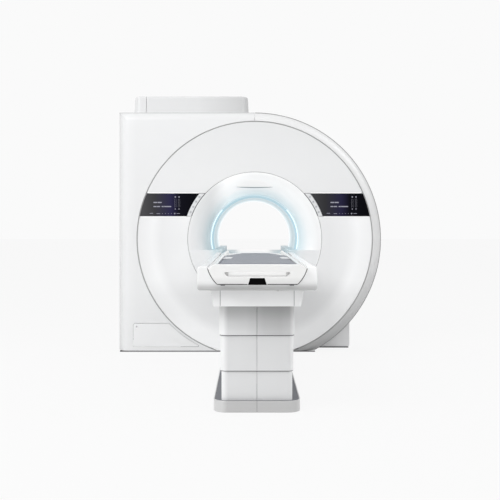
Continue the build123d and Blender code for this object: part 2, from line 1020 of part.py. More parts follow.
with BuildPart() as flank_shell:
    add(housing_block(0, flank_start, flank_end))
    add(housing_block(lip_inset, flank_start - joggle_length, flank_end + joggle_length))
    for inset, start, end in (
        (lip_inset + joggle_wall, flank_start - joggle_length, flank_end + joggle_length),
        (cover_wall, flank_start + joggle_length, flank_end - joggle_length),
    ):
        add(
            housing_block(inset, start, end, bottom=floor_gap - cover_edge_radius),
            mode=Mode.SUBTRACT,
        )

with BuildPart() as left_flank_cover:
    add(flank_shell.part)
    split(bisect_by=Plane.YZ.offset(-seam / 2), keep=Keep.BOTTOM)
    with BuildSketch(Plane.XY.offset(axis_z + magnet_outer_radius)):
        with Locations((neck_x, 0)):
            Circle(neck_radius + neck_opening_gap)
    extrude(amount=cover_outer_radius, mode=Mode.SUBTRACT)
left_flank_cover.part.label = "left_flank_cover"
export_step(left_flank_cover.part, "parts/left_flank_cover.step")

# The plinth squares off the foot of the right flank outside its round wall
plinth_inner = plinth_reach - cover_wall
plinth_join = axis_z - sqrt(cover_outer_radius**2 - plinth_inner**2)
plinth_bounds = (flank_start + cover_wall, flank_end - cover_wall)

with BuildPart() as plinth:
    add(slab(0, plinth_reach, flank_start, flank_end, floor_gap, axis_z / 2))
    foot_edges = plinth.edges().filter_by(Axis.Y).group_by(Axis.Z)[0].sort_by(Axis.X)
    fillet(foot_edges[-1], plinth_corner_radius)
    add(slab(-seam, plinth_inner, *plinth_bounds, -floor_gap, axis_z), mode=Mode.SUBTRACT)
    add(
        tube(0, cover_outer_radius - cover_wall, flank_start - seam, flank_end + seam),
        mode=Mode.SUBTRACT,
    )

with BuildPart() as right_flank_cover:
    add(flank_shell.part)
    add(plinth.part)
    split(bisect_by=Plane.YZ.offset(seam / 2), keep=Keep.TOP)
    add(slab(0, plinth_inner, *plinth_bounds, -floor_gap, plinth_join), mode=Mode.SUBTRACT)
right_flank_cover.part.label = "right_flank_cover"
export_step(right_flank_cover.part, "parts/right_flank_cover.step")

with BuildPart() as rear_cover:
    add(housing_block(0, rear_split + seam / 2, rear_y, cover_edge_radius, end_face=-1))
    add(
        housing_block(
            cover_wall,
            rear_split,
            rear_y - cover_wall,
            cover_edge_radius - cover_wall,
            end_face=-1,
            bottom=floor_gap - cover_edge_radius,
        ),
        mode=Mode.SUBTRACT,
    )
    add(tube(0, rear_flare_radius + seat_gap, rear_split, rear_y), mode=Mode.SUBTRACT)
rear_cover.part.label = "rear_cover"
export_step(rear_cover.part, "parts/rear_cover.step")


def turret_block(inset):
    """Turret outline drawn in at every side, with its rounded corners and its draft."""
    width = turret_right - turret_left - 2 * inset
    length = turret_length - 2 * inset
    middle = ((turret_left + turret_right) / 2, turret_front + turret_length / 2)
    with BuildPart() as block:
        with BuildSketch(Plane.XY.offset(axis_z + cover_outer_radius + seat_gap)) as outline:
            with Locations(middle):
                Rectangle(width, length)
            sides = outline.vertices().group_by(Axis.X)
            fillet(sides[0], turret_left_radius - inset)
            sides = outline.vertices().group_by(Axis.X)
            fillet(sides[-1], turret_corner_radius - inset)
        extrude(amount=turret_height - inset, taper=turret_draft)
        fillet(block.faces().sort_by(Axis.Z)[-1].edges(), turret_edge_radius - inset)
    return block.part


turret_seam_x = turret_left + turret_side_width

with BuildPart() as turret_shell:
    add(turret_block(0))
    add(turret_block(turret_wall), mode=Mode.SUBTRACT)

with BuildPart() as turret_cover:
    add(turret_shell.part)
    split(bisect_by=Plane.YZ.offset(turret_seam_x + seam / 2), keep=Keep.TOP)
turret_cover.part.label = "turret_cover"
export_step(turret_cover.part, "parts/turret_cover.step")

with BuildPart() as turret_side_cover:
    add(turret_shell.part)
    split(bisect_by=Plane.YZ.offset(turret_seam_x - seam / 2), keep=Keep.BOTTOM)
turret_side_cover.part.label = "turret_side_cover"
export_step(turret_side_cover.part, "parts/turret_side_cover.step")

# Table base: a slab inside a bright rim
base_center = (0, base_front + base_length / 2)
base_plate_height = base_height - base_top_drop

with BuildPart() as base_rim:
    with BuildSketch():
        with Locations(base_center):
            RectangleRounded(base_width, base_length, base_corner_radius)
            RectangleRounded(
                base_width - 2 * base_rim_wall,
                base_length - 2 * base_rim_wall,
                base_corner_radius - base_rim_wall,
                mode=Mode.SUBTRACT,
            )
    extrude(amount=base_height)
    fillet(base_rim.faces().sort_by(Axis.Z)[-1].edges(), base_rim_edge_radius)
    add(
        slab(
            -column_slit / 2,
            column_slit / 2,
            base_front - base_rim_wall,
            base_front + 2 * base_rim_wall,
            0,
            base_height,
        ),
        mode=Mode.SUBTRACT,
    )
base_rim.part.label = "base_rim"
export_step(base_rim.part, "parts/base_rim.step")

base_inset = base_rim_wall + seat_gap

with BuildPart() as base_plate:
    with BuildSketch():
        with Locations(base_center):
            RectangleRounded(
                base_width - 2 * base_inset,
                base_length - 2 * base_inset,
                base_corner_radius - base_inset,
            )
        with Locations((0, column_center_y)):
            with GridLocations(base_anchor_x, base_anchor_y, 2, 2):
                Circle(base_anchor_radius, mode=Mode.SUBTRACT)
    extrude(amount=base_plate_height)
base_plate.part.label = "base_plate"
export_step(base_plate.part, "parts/base_plate.step")

# Three telescoping column covers, each bent round from one sheet and closed by a slit at the front
column_step = column_wall + column_gap
column_covers = (
    ("column_upper_cover", 0, upper_cover_bottom, upper_cover_top),
    ("column_middle_cover", 1, middle_cover_bottom, upper_cover_bottom + cover_overlap),
    ("column_lower_cover", 2, base_plate_height + seat_gap, middle_cover_bottom + cover_overlap),
)

for cover_name, order, low, high in column_covers:
    inset = order * column_step
    with BuildPart() as column_cover:
        with BuildSketch(Plane.XY.offset(low)):
            with Locations((0, column_center_y)):
                RectangleRounded(
                    column_width - 2 * inset,
                    column_length - 2 * inset,
                    column_corner_radius - inset,
                )
                RectangleRounded(
                    column_width - 2 * (inset + column_wall),
                    column_length - 2 * (inset + column_wall),
                    column_corner_radius - inset - column_wall,
                    mode=Mode.SUBTRACT,
                )
            with Locations((0, column_front + inset)):
                Rectangle(column_slit, 3 * column_wall, mode=Mode.SUBTRACT)
        extrude(amount=high - low)
    column_cover.part.label = cover_name
    export_step(column_cover.part, f"parts/{cover_name}.step")

# Two-stage lift ram under the frame
stage_radius = barrel_radius - ram_wall - ram_gap
rod_radius_at_ram = stage_radius - ram_wall - ram_gap
stage_bottom = barrel_top - ram_overlap
rod_bottom = stage_top - ram_overlap


def ram_tube(radius, low, high):
    """Upright cylinder with a closed bottom and an open top, on the column's centre."""
    with BuildPart() as cup:
        with BuildSketch(Plane.XY.offset(low)):
            with Locations((0, column_center_y)):
                Circle(radius)
        extrude(amount=high - low)
        with BuildSketch(Plane.XY.offset(low + ram_wall)):
            with Locations((0, column_center_y)):
                Circle(radius - ram_wall)
        extrude(amount=high - low, mode=Mode.SUBTRACT)
    return cup.part


with BuildPart() as lift_ram_barrel:
    add(ram_tube(barrel_radius, base_plate_height + seat_gap, barrel_top))
lift_ram_barrel.part.label = "lift_ram_barrel"
export_step(lift_ram_barrel.part, "parts/lift_ram_barrel.step")

with BuildPart() as lift_ram_stage:
    add(ram_tube(stage_radius, stage_bottom, stage_top))
lift_ram_stage.part.label = "lift_ram_stage"
export_step(lift_ram_stage.part, "parts/lift_ram_stage.step")

with BuildPart() as lift_ram_rod:
    with BuildSketch(Plane.XY.offset(rod_bottom)):
        with Locations((0, column_center_y)):
            Circle(rod_radius_at_ram)
    extrude(amount=wing_bottom - seat_gap - rod_bottom)
lift_ram_rod.part.label = "lift_ram_rod"
export_step(lift_ram_rod.part, "parts/lift_ram_rod.step")

# Cradle outline, shared with the track that it runs in
side_slope = (cradle_half_width - cradle_bottom_half_width) / (
    cradle_shoulder_height - cradle_bottom_height
)
board_bottom_half_width = cradle_half_width - side_slope * (
    cradle_shoulder_height - cradle_board_bottom
)
track_bottom = cradle_bottom_height - track_clearance


def cradle_sides(grow, top_half_width, top):
    """Closed outline with bowed lower sides, grown by the clearance that a track needs."""
    shoulder = Vector(cradle_half_width + grow, cradle_shoulder_height)
    heel = Vector(cradle_bottom_half_width + grow, cradle_bottom_height - grow)
    side = (heel - shoulder).normalized()
    middle = (shoulder + heel) / 2 + Vector(-side.Y, side.X) * cradle_side_bow
    with BuildSketch(across(0)) as outline:
        with BuildLine():
            ThreePointArc(shoulder, middle, heel)
            Polyline(heel, (-heel.X, heel.Y))
            ThreePointArc((-heel.X, heel.Y), (-middle.X, middle.Y), (-shoulder.X, shoulder.Y))
            Polyline(
                (-shoulder.X, shoulder.Y),
                (-top_half_width, top),
                (top_half_width, top),
                shoulder,
            )
        make_face()
        fillet(outline.vertices().group_by(Axis.Y)[0], cradle_heel_radius + grow)
    return outline.sketch


mattress_front = cradle_front + mattress_inset
clamp_rear = block_rear
clamp_front = clamp_rear - clamp_length
belt_outer_radius = pulley_radius + ram_gap + belt_thickness


def latch_outline(gap):
    """Trapezoid of the release latch, drawn in at its sides and its top by a gap."""
    with BuildSketch(across(0)) as outline:
        with BuildLine():
            Polyline(
                (-latch_bottom_width / 2 + gap, cradle_bottom_height),
                (-latch_top_width / 2 + gap, cradle_bottom_height + latch_height - gap),
                (latch_top_width / 2 - gap, cradle_bottom_height + latch_height - gap),
                (latch_bottom_width / 2 - gap, cradle_bottom_height),
                close=True,
            )
        make_face()
    return outline.sketch


with BuildPart() as cradle:
    block_face = Pos(0, cradle_front, 0) * cradle_sides(0, cradle_top_half_width, table_top_height)
    extrude(block_face, amount=-cradle_block_length)
    fillet(cradle.faces().sort_by(Axis.Y)[0].edges(), cradle_edge_radius)
    with BuildSketch(across(block_rear - bond)):
        with BuildLine():
            Polyline(
                (-board_bottom_half_width, cradle_board_bottom),
                (-cradle_half_width, cradle_shoulder_height),
                (-cradle_top_half_width, table_top_height),
                (cradle_top_half_width, table_top_height),
                (cradle_half_width, cradle_shoulder_height),
                (board_bottom_half_width, cradle_board_bottom),
                close=True,
            )
        make_face()
    extrude(amount=block_rear - bond - table_end)
    add(
        slab(
            -mattress_half_width - seat_gap,
            mattress_half_width + seat_gap,
            mattress_front - seat_gap,
            table_end,
            mattress_bed,
            table_top_height,
        ),
        mode=Mode.SUBTRACT,
    )
    with BuildSketch(across(cradle_front)) as handle:
        with BuildLine():
            Polyline(
                (-handle_half_width + handle_slant, handle_bottom),
                (-handle_half_width, handle_top),
                (handle_half_width, handle_top),
                (handle_half_width - handle_slant, handle_bottom),
                close=True,
            )
        make_face()
        fillet(handle.vertices(), handle_corner_radius)
    extrude(amount=-handle_depth, mode=Mode.SUBTRACT)
    pocket_face = Pos(0, cradle_front, 0) * latch_outline(0)
    extrude(pocket_face, amount=-latch_depth - latch_travel - latch_gap, mode=Mode.SUBTRACT)
    add(
        slab(
            belt_x - clamp_width / 2,
            belt_x + clamp_width / 2,
            clamp_front,
            clamp_rear,
            belt_height + belt_outer_radius + running_gap,
            cradle_bottom_height + bond,
        )
    )
cradle.part.label = "cradle"
export_step(cradle.part, "parts/cradle.step")

with BuildPart() as release_latch:
    latch_face = Pos(0, cradle_front, 0) * latch_outline(latch_gap)
    extrude(latch_face, amount=-latch_depth)
    fillet(release_latch.faces().sort_by(Axis.Y)[0].edges(), latch_gap)
release_latch.part.label = "release_latch"
export_step(release_latch.part, "parts/release_latch.step")

with BuildPart() as glide_strips:
    for x in (-glide_half_spacing, glide_half_spacing):
        add(
            slab(
                x - glide_width / 2,
                x + glide_width / 2,
                cradle_front + glide_width / 2,
                block_rear - glide_width / 2,
                track_bottom + running_gap,
                cradle_bottom_height,
            )
        )
        add(
            slab(
                x - glide_width / 2,
                x + glide_width / 2,
                deep_track_end + glide_width,
                table_end - glide_width,
                track_floor + running_gap,
                cradle_board_bottom,
            )
        )
glide_strips.part.label = "glide_strips"
export_step(glide_strips.part, "parts/glide_strips.step")

mattress_rear = mattress_front + mattress_length
mattress_rear_half_width = mattress_half_width - mattress_corner_width

with BuildPart() as mattress:
    with BuildSketch(Plane.XY.offset(mattress_bed + seat_gap)):
        with BuildLine():
            Polyline(
                (-mattress_half_width, mattress_front),
                (mattress_half_width, mattress_front),
                (mattress_half_width, mattress_rear - mattress_corner_length),
                (mattress_rear_half_width, mattress_rear),
                (-mattress_rear_half_width, mattress_rear),
                (-mattress_half_width, mattress_rear - mattress_corner_length),
                close=True,
            )
        make_face()
    extrude(amount=mattress_top - mattress_bed - seat_gap)
    fillet(mattress.faces().sort_by(Axis.Z)[-1].edges(), mattress_edge_radius)
mattress.part.label = "mattress"
export_step(mattress.part, "parts/mattress.step")

# Table frame: wings beside the track, with lugs under it for the drive
lug_inner = pulley_width / 2 + running_gap
lug_outer = lug_inner + lug_wall

with BuildPart() as table_frame:
    with BuildSketch(across(frame_front)) as wings:
        with Locations((0, (wing_top + wing_bottom) / 2)):
            Rectangle(2 * wing_half_width, wing_top - wing_bottom)
        fillet(wings.vertices().group_by(Axis.Y)[0], wing_lower_radius)
        fillet(wings.vertices().group_by(Axis.Y)[-1], wing_upper_radius)
    extrude(amount=frame_front - frame_end)
    fillet(table_frame.faces().sort_by(Axis.Y)[0].edges(), frame_edge_radius)
    track_face = Pos(0, frame_front, 0) * cradle_sides(
        track_clearance,
        cradle_half_width + track_clearance,
        table_top_height,
    )
    extrude(track_face, amount=frame_front - deep_track_end, mode=Mode.SUBTRACT)
    add(
        slab(
            -track_half_width,
            track_half_width,
            deep_track_end - bond,
            frame_end,
            track_floor,
            table_top_height,
        ),
        mode=Mode.SUBTRACT,
    )
    add(
        slab(
            belt_x - slot_half_width,
            belt_x + slot_half_width,
            clamp_front - slot_half_width,
            deep_track_end,
            wing_bottom,
            table_top_height - bond,
        ),
        mode=Mode.SUBTRACT,
    )
    for y in (drive_pulley_y, idler_pulley_y):
        for left, right in ((-lug_outer, -lug_inner), (lug_inner, lug_outer)):
            add(
                slab(
                    belt_x + left,
                    belt_x + right,
                    y - lug_half_height,
                    y + lug_half_height,
                    belt_height - lug_half_height,
                    wing_bottom + bond,
                )
            )
        add(
            rod_across(
                belt_x - lug_outer,
                y,
                belt_height,
                shaft_radius + shaft_gap,
                2 * lug_outer,
            ),
            mode=Mode.SUBTRACT,
        )
table_frame.part.label = "table_frame"
export_step(table_frame.part, "parts/table_frame.step")

# Under-box that hides the drive, closed at the top by the frame
box_top = wing_bottom - seat_gap
box_side_slope = box_side_lean / (box_top - box_bottom)


def box_section(inset, low, high):
    """Trapezoid across the under-box between two heights, drawn in by an inset."""
    low_half = box_half_width - inset - box_side_slope * (box_top - low)
    high_half = box_half_width - inset - box_side_slope * (box_top - high)
    with BuildSketch(across(0)) as section:
        with BuildLine():
            Polyline(
                (-low_half, low),
                (-high_half, high),
                (high_half, high),
                (low_half, low),
                close=True,
            )
        make_face()
    return section.sketch


with BuildPart() as under_box:
    extrude(Pos(0, box_front, 0) * box_section(0, box_bottom, box_top), amount=-box_length)
    corner_edges = under_box.edges().filter_by(GeomType.LINE).filter_by(
        lambda edge: abs((edge @ 0).Z - (edge @ 1).Z) > box_wall
    )
    fillet(corner_edges, box_corner_radius)
    inner_section = box_section(box_wall, box_bottom + box_wall, box_top)
    extrude(
        Pos(0, box_front + box_wall, 0) * inner_section,
        amount=2 * box_wall - box_length,
        mode=Mode.SUBTRACT,
    )
    with BuildSketch(Plane.XY.offset(box_bottom)):
        with Locations((0, column_center_y)):
            RectangleRounded(
                column_width + 2 * seat_gap,
                column_length + 2 * seat_gap,
                column_corner_radius + seat_gap,
            )
    extrude(amount=box_wall, mode=Mode.SUBTRACT)
    for x in (-box_groove_x, box_groove_x):
        add(
            slab(
                x - box_groove_width / 2,
                x + box_groove_width / 2,
                box_front,
                box_front + box_groove_depth,
                box_bottom,
                box_top,
            ),
            mode=Mode.SUBTRACT,
        )
under_box.part.label = "under_box"
export_step(under_box.part, "parts/under_box.step")

# Cradle drive inside the under-box
belt_inner_radius = pulley_radius + ram_gap
belt_span = idler_pulley_y - drive_pulley_y

with BuildPart() as drive_belt:
    with BuildSketch(Plane.YZ.offset(belt_x - belt_width / 2)):
        with Locations(((drive_pulley_y + idler_pulley_y) / 2, belt_height)):
            SlotCenterToCenter(belt_span, 2 * belt_outer_radius)
            SlotCenterToCenter(belt_span, 2 * belt_inner_radius, mode=Mode.SUBTRACT)
    extrude(amount=belt_width)
drive_belt.part.label = "drive_belt"
export_step(drive_belt.part, "parts/drive_belt.step")

motor_start = belt_x + lug_outer + running_gap

for pulley_name, y, shaft_reach in (
    ("drive_pulley", drive_pulley_y, motor_length / 3),
    ("idler_pulley", idler_pulley_y, 0),
):
    with BuildPart() as pulley:
        add(rod_across(belt_x - pulley_width / 2, y, belt_height, pulley_radius, pulley_width))
        add(
            rod_across(
                belt_x - lug_outer,
                y,
                belt_height,
                shaft_radius,
                2 * lug_outer + shaft_reach,
            )
        )
    pulley.part.label = pulley_name
    export_step(pulley.part, f"parts/{pulley_name}.step")

with BuildPart() as drive_motor:
    add(rod_across(motor_start, drive_pulley_y, belt_height, motor_radius, motor_length))
    add(
        slab(
            motor_start,
            motor_start + motor_length / 2,
            drive_pulley_y - motor_radius / 2,
            drive_pulley_y + motor_radius / 2,
            belt_height,
            wing_bottom - seat_gap,
        )
    )
    add(
        rod_across(
            motor_start,
            drive_pulley_y,
            belt_height,
            shaft_radius + shaft_gap,
            motor_length / 2,
        ),
        mode=Mode.SUBTRACT,
    )
drive_motor.part.label = "drive_motor"
export_step(drive_motor.part, "parts/drive_motor.step")
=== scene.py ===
"""Finishes a wide-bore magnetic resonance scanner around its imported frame.

Every size is in metres. The bore runs along Y, the patient table stands on the side of -Y, and Z is up.
"""

import math

import bmesh
import bpy
from bpy.props import FloatProperty, FloatVectorProperty, PointerProperty
from mathutils import Matrix, Vector


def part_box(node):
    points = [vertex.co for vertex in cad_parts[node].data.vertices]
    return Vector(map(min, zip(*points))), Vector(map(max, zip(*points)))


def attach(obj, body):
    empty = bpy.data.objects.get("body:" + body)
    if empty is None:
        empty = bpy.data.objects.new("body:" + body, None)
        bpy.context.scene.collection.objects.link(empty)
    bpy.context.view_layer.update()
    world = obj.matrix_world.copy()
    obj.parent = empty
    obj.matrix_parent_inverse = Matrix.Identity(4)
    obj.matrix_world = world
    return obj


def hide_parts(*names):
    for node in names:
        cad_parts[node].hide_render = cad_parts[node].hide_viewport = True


bl_info = {
    "name": "Magnetic Resonance Scanner Finish",
    "version": (1, 0, 0),
    "blender": (4, 5, 0),
    "location": "View3D > Sidebar > Scanner",
    "description": "Coats, displays, bore light, mattress and studio for a wide-bore scanner",
    "category": "Object",
}

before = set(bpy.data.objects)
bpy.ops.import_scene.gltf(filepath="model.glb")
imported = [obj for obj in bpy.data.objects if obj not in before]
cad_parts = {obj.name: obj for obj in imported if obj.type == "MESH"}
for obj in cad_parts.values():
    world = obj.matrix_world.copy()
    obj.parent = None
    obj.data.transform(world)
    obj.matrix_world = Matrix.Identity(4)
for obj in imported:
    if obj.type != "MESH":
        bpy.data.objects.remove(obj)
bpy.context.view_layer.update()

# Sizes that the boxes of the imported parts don't show
flare_wall = 0.006
wing_depth = 0.04
pad_inset = 0.002
pad_corner = 0.03

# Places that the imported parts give
face_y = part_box("front_lower_panel")[0].y
bore_z = (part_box("front_flare")[0].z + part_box("front_flare")[1].z) / 2
mouth_radius = (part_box("front_flare")[1].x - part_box("front_flare")[0].x) / 2
throat_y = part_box("bore_light_ring")[0].y
ring_radius = (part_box("bore_light_ring")[1].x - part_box("bore_light_ring")[0].x) / 2
throat_radius = ring_radius - flare_wall
pad_low, pad_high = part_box("mattress")
block_low, block_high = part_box("cradle")
heel_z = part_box("release_latch")[0].z
wing_low_z = heel_z - wing_depth
face_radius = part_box("front_upper_panel")[1].z - bore_z


class ScannerStageSettings(bpy.types.PropertyGroup):
    """Camera, floor and lamps of the studio."""

    camera_x: FloatProperty(name="Camera X", description="Sideways place of the camera", default=-0.0416,
                            unit="LENGTH")
    camera_y: FloatProperty(name="Camera Y", description="Place of the camera along the bore", default=-7.939,
                            unit="LENGTH")
    camera_z: FloatProperty(name="Camera Z", description="Height of the camera", default=1.115, unit="LENGTH")
    focal_length: FloatProperty(name="Focal Length", description="Lens on a 36 mm sensor", default=57.6,
                                unit="CAMERA")
    horizon_shift: FloatProperty(name="Horizon Shift", description="Lift of the frame, in frame widths",
                                 default=-0.048)
    background: FloatProperty(name="Background", description="Tone of the backdrop", default=0.956, min=0)
    floor_glow: FloatProperty(name="Floor Glow", description="Evens out the floor and the backdrop",
                              default=1.005, min=0)
    ambience: FloatProperty(name="Ambience", description="Level of the light from all sides", default=0.475,
                            min=0)
    key_power: FloatProperty(name="Key Lamp", description="Power of the large lamp", default=255, min=0,
                             unit="POWER")
    fill_power: FloatProperty(name="Fill Lamp", description="Power of the lamp at the right", default=96,
                              min=0, unit="POWER")
    front_power: FloatProperty(name="Front Lamp", description="Power of the lamp at the camera", default=15,
                               min=0, unit="POWER")


class ScannerCoverSettings(bpy.types.PropertyGroup):
    """Coats of the covers."""

    cover_color: FloatVectorProperty(name="Cover", description="Gloss coat of the covers", subtype="COLOR",
                                     size=3, min=0, max=1, default=(0.86, 0.865, 0.87))
    bezel_color: FloatVectorProperty(name="Bezel", description="Metallic coat of the round bezel",
                                     subtype="COLOR", size=3, min=0, max=1, default=(0.81, 0.813, 0.816))
    gloss_roughness: FloatProperty(name="Gloss Roughness", description="Roughness of the gloss coat",
                                   default=0.22, min=0, max=1, subtype="FACTOR")
    grain_depth: FloatProperty(name="Grain Depth", description="Depth of the fine moulded grain",
                               default=0.00005, unit="LENGTH")


class ScannerDisplaySettings(bpy.types.PropertyGroup):
    """Displays and the marks that they show."""

    glass_color: FloatVectorProperty(name="Glass", description="Front of a display", subtype="COLOR", size=3,
                                     min=0, max=1, default=(0.002, 0.002, 0.003))
    glow_color: FloatVectorProperty(name="Glow", description="Glow behind the marks", subtype="COLOR", size=3,
                                    min=0, max=1, default=(0.02, 0.018, 0.05))
    mark_color: FloatVectorProperty(name="Marks", description="Lines and symbols on a display",
                                    subtype="COLOR", size=3, min=0, max=1, default=(0.24, 0.24, 0.29))
    mark_rise: FloatProperty(name="Mark Rise", description="Height of a mark over its glass", default=0.0003,
                             unit="LENGTH")


class ScannerBoreSettings(bpy.types.PropertyGroup):
    """Light ring, flare and liner of the bore."""

    light_color: FloatVectorProperty(name="Light", description="Colour of the bore light", subtype="COLOR",
                                     size=3, min=0, max=1, default=(0.5, 0.69, 0.77))
    ring_strength: FloatProperty(name="Ring Strength", description="Strength of the diffuser ring",
                                 default=0.68, min=0)
    arc_strength: FloatProperty(name="Arc Strength", description="Strength of the bright side arcs",
                                default=1.25, min=0)
    top_strength: FloatProperty(name="Top Strength", description="Strength of the faint top arc",
                                default=0.72, min=0)
    arc_radius: FloatProperty(name="Arc Radius", description="Radius of the light arcs", default=0.397,
                              unit="LENGTH")


class ScannerTableSettings(bpy.types.PropertyGroup):
    """Patient table and its mattress."""

    vinyl_color: FloatVectorProperty(name="Vinyl", description="Coated fabric of the mattress",
                                     subtype="COLOR", size=3, min=0, max=1, default=(0.144, 0.158, 0.2))
    voxel: FloatProperty(name="Voxel", description="Mesh size of the mattress before it is filled",
                         default=0.01, unit="LENGTH")
    crown: FloatProperty(name="Crown", description="Most that the filling lifts the mattress", default=0.005,
                         unit="LENGTH")
    piping_radius: FloatProperty(name="Piping Radius", description="Radius of the piped seam", default=0.0022,
                                 unit="LENGTH")


def new_material(name):
    """New material with its node lists and its shader."""
    material = bpy.data.materials.new(name)
    material.use_nodes = True
    tree = material.node_tree
    return material, tree.nodes, tree.links, shader_of(material)


def shader_of(material):
    """The shader that every coat is built on."""
    return material.node_tree.nodes["Principled BSDF"]


def noise_on_object(nodes, links, scale, stretch=(1, 1, 1)):
    """Noise in the object's own coordinates, stretched along its axes."""
    detail = 3
    place = nodes.new("ShaderNodeTexCoord")
    mapping = nodes.new("ShaderNodeMapping")
    mapping.inputs["Scale"].default_value = stretch
    noise = nodes.new("ShaderNodeTexNoise")
    noise.inputs["Scale"].default_value = scale
    noise.inputs["Detail"].default_value = detail
    links.new(place.outputs["Object"], mapping.inputs["Vector"])
    links.new(mapping.outputs["Vector"], noise.inputs["Vector"])
    return noise


def vary_color(nodes, links, shader, factor, color, spread):
    """Lets the base colour drift a little about its own tone."""
    mix = nodes.new("ShaderNodeMix")
    mix.data_type = "RGBA"
    mix.inputs["A"].default_value = (*[channel * (1 - spread) for channel in color], 1)
    mix.inputs["B"].default_value = (*[min(1, channel * (1 + spread)) for channel in color], 1)
    links.new(factor, mix.inputs["Factor"])
    links.new(mix.outputs["Result"], shader.inputs["Base Color"])


def raise_relief(nodes, links, shader, height, depth):
    """Bump of a depth in metres from a height between 0 and 1."""
    bump = nodes.new("ShaderNodeBump")
    bump.inputs["Distance"].default_value = depth
    links.new(height, bump.inputs["Height"])
    links.new(bump.outputs["Normal"], shader.inputs["Normal"])


def coated(name, color, roughness, depth=0.00005, grain=350, spread=0.012, metallic=0, stretch=(1, 1, 1)):
    """Coat with a fine grain and a slight drift of tone."""
    drift_scale = 2.5
    material, nodes, links, shader = new_material(name)
    shader.inputs["Roughness"].default_value = roughness
    shader.inputs["Metallic"].default_value = metallic
    drift = noise_on_object(nodes, links, drift_scale)
    vary_color(nodes, links, shader, drift.outputs["Fac"], color, spread)
    fine = noise_on_object(nodes, links, grain, stretch)
    raise_relief(nodes, links, shader, fine.outputs["Fac"], depth)
    return material


def lit(name, color, strength, body=0.3, spread=0.08):
    """Lit diffuser with a slight unevenness, over a body of a darker tone."""
    drift_scale = 6
    material, nodes, links, shader = new_material(name)
    shader.inputs["Roughness"].default_value = 0.4
    shader.inputs["Emission Color"].default_value = (*color, 1)
    shader.inputs["Emission Strength"].default_value = strength
    drift = noise_on_object(nodes, links, drift_scale)
    vary_color(nodes, links, shader, drift.outputs["Fac"], [channel * body for channel in color], spread)
    return material


def bore_distance(nodes, links, split):
    """Distance from the bore axis of a place that is split into X, Y and Z."""
    height = nodes.new("ShaderNodeMath")
    height.operation = "SUBTRACT"
    height.inputs[1].default_value = bore_z
    flat = nodes.new("ShaderNodeCombineXYZ")
    size = nodes.new("ShaderNodeVectorMath")
    size.operation = "LENGTH"
    links.new(split.outputs["Z"], height.inputs[0])
    links.new(split.outputs["X"], flat.inputs["X"])
    links.new(height.outputs[0], flat.inputs["Y"])
    links.new(flat.outputs["Vector"], size.inputs[0])
    return size.outputs["Value"]


def ramp_along(material, axis, start, end, stops, radial=False):
    """Colour that changes along an axis, or with the distance from the bore axis.

    A stop is a share of the way with its colour, or with one tone for all three channels. The first stop is
    always at 0 and the last at 1.
    """
    colors = [(*value, 1) if isinstance(value, tuple) else (value, value, value, 1) for share, value in stops]
    nodes = material.node_tree.nodes
    links = material.node_tree.links
    place = nodes.new("ShaderNodeTexCoord")
    split = nodes.new("ShaderNodeSeparateXYZ")
    along = nodes.new("ShaderNodeMapRange")
    along.inputs["From Min"].default_value = start
    along.inputs["From Max"].default_value = end
    ramp = nodes.new("ShaderNodeValToRGB")
    ramp.color_ramp.elements[0].color = colors[0]
    ramp.color_ramp.elements[1].color = colors[-1]
    for (share, value), color in zip(stops[1:-1], colors[1:-1]):
        ramp.color_ramp.elements.new(share).color = color
    measure = bore_distance(nodes, links, split) if radial else split.outputs[axis]
    links.new(place.outputs["Object"], split.inputs["Vector"])
    links.new(measure, along.inputs["Value"])
    links.new(along.outputs["Result"], ramp.inputs["Fac"])
    return ramp.outputs["Color"]


def glow_along(material, axis, start, end, stops, radial=False):
    """Lets a material glow in tones that change along an axis or from the bore axis outwards.

    On a part that isn't a lamp this paints in the photograph's light, and it stays on when the lamps are off.
    """
    tones = ramp_along(material, axis, start, end, stops, radial)
    shader = shader_of(material)
    material.node_tree.links.new(tones, shader.inputs["Emission Color"])
    shader.inputs["Emission Strength"].default_value = 1


def shade_along(material, axis, start, end, stops, tint=(1, 1, 1), radial=False):
    """Darkens a coat by tones along an axis or from the bore axis outwards.

    This paints in the photograph's shading, which doesn't follow the lamps. The tint says how much of the
    darkening each channel takes.
    """
    colors = [(share, tuple(1 - (1 - tone) * channel for channel in tint)) for share, tone in stops]
    tones = ramp_along(material, axis, start, end, colors, radial)
    nodes = material.node_tree.nodes
    links = material.node_tree.links
    base = shader_of(material).inputs["Base Color"]
    mix = nodes.new("ShaderNodeMix")
    mix.data_type = "RGBA"
    mix.blend_type = "MULTIPLY"
    mix.inputs["Factor"].default_value = 1
    links.new(base.links[0].from_socket, mix.inputs["A"])
    links.new(tones, mix.inputs["B"])
    links.new(mix.outputs["Result"], base)


def dress(material, *node_names):
    """Gives CAD nodes a material."""
    for node_name in node_names:
        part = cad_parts[node_name]
        if not part.material_slots:
            part.data.materials.append(material)
        for material_slot in part.material_slots:
            material_slot.material = material


def finish_piece(name, bm, body, material, sharp_angle=math.radians(35)):
    """Writes a mesh to a new piece and lets it ride on its body."""
    bmesh.ops.remove_doubles(bm, verts=bm.verts, dist=1e-6)
    bmesh.ops.recalc_face_normals(bm, faces=bm.faces)
    mesh = bpy.data.meshes.new(name)
    bm.to_mesh(mesh)
    bm.free()
    mesh.shade_smooth()
    mesh.set_sharp_from_angle(angle=sharp_angle)
    mesh.materials.append(material)
    piece = bpy.data.objects.new(name, mesh)
    bpy.context.scene.collection.objects.link(piece)
    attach(piece, body)
    return piece


def add_plate(bm, low, high):
    """Box between two corners."""
    low = Vector(low)
    high = Vector(high)
    size = high - low
    matrix = Matrix.Translation((low + high) / 2) @ Matrix.Diagonal((*size, 1))
    bmesh.ops.create_cube(bm, size=1, matrix=matrix)


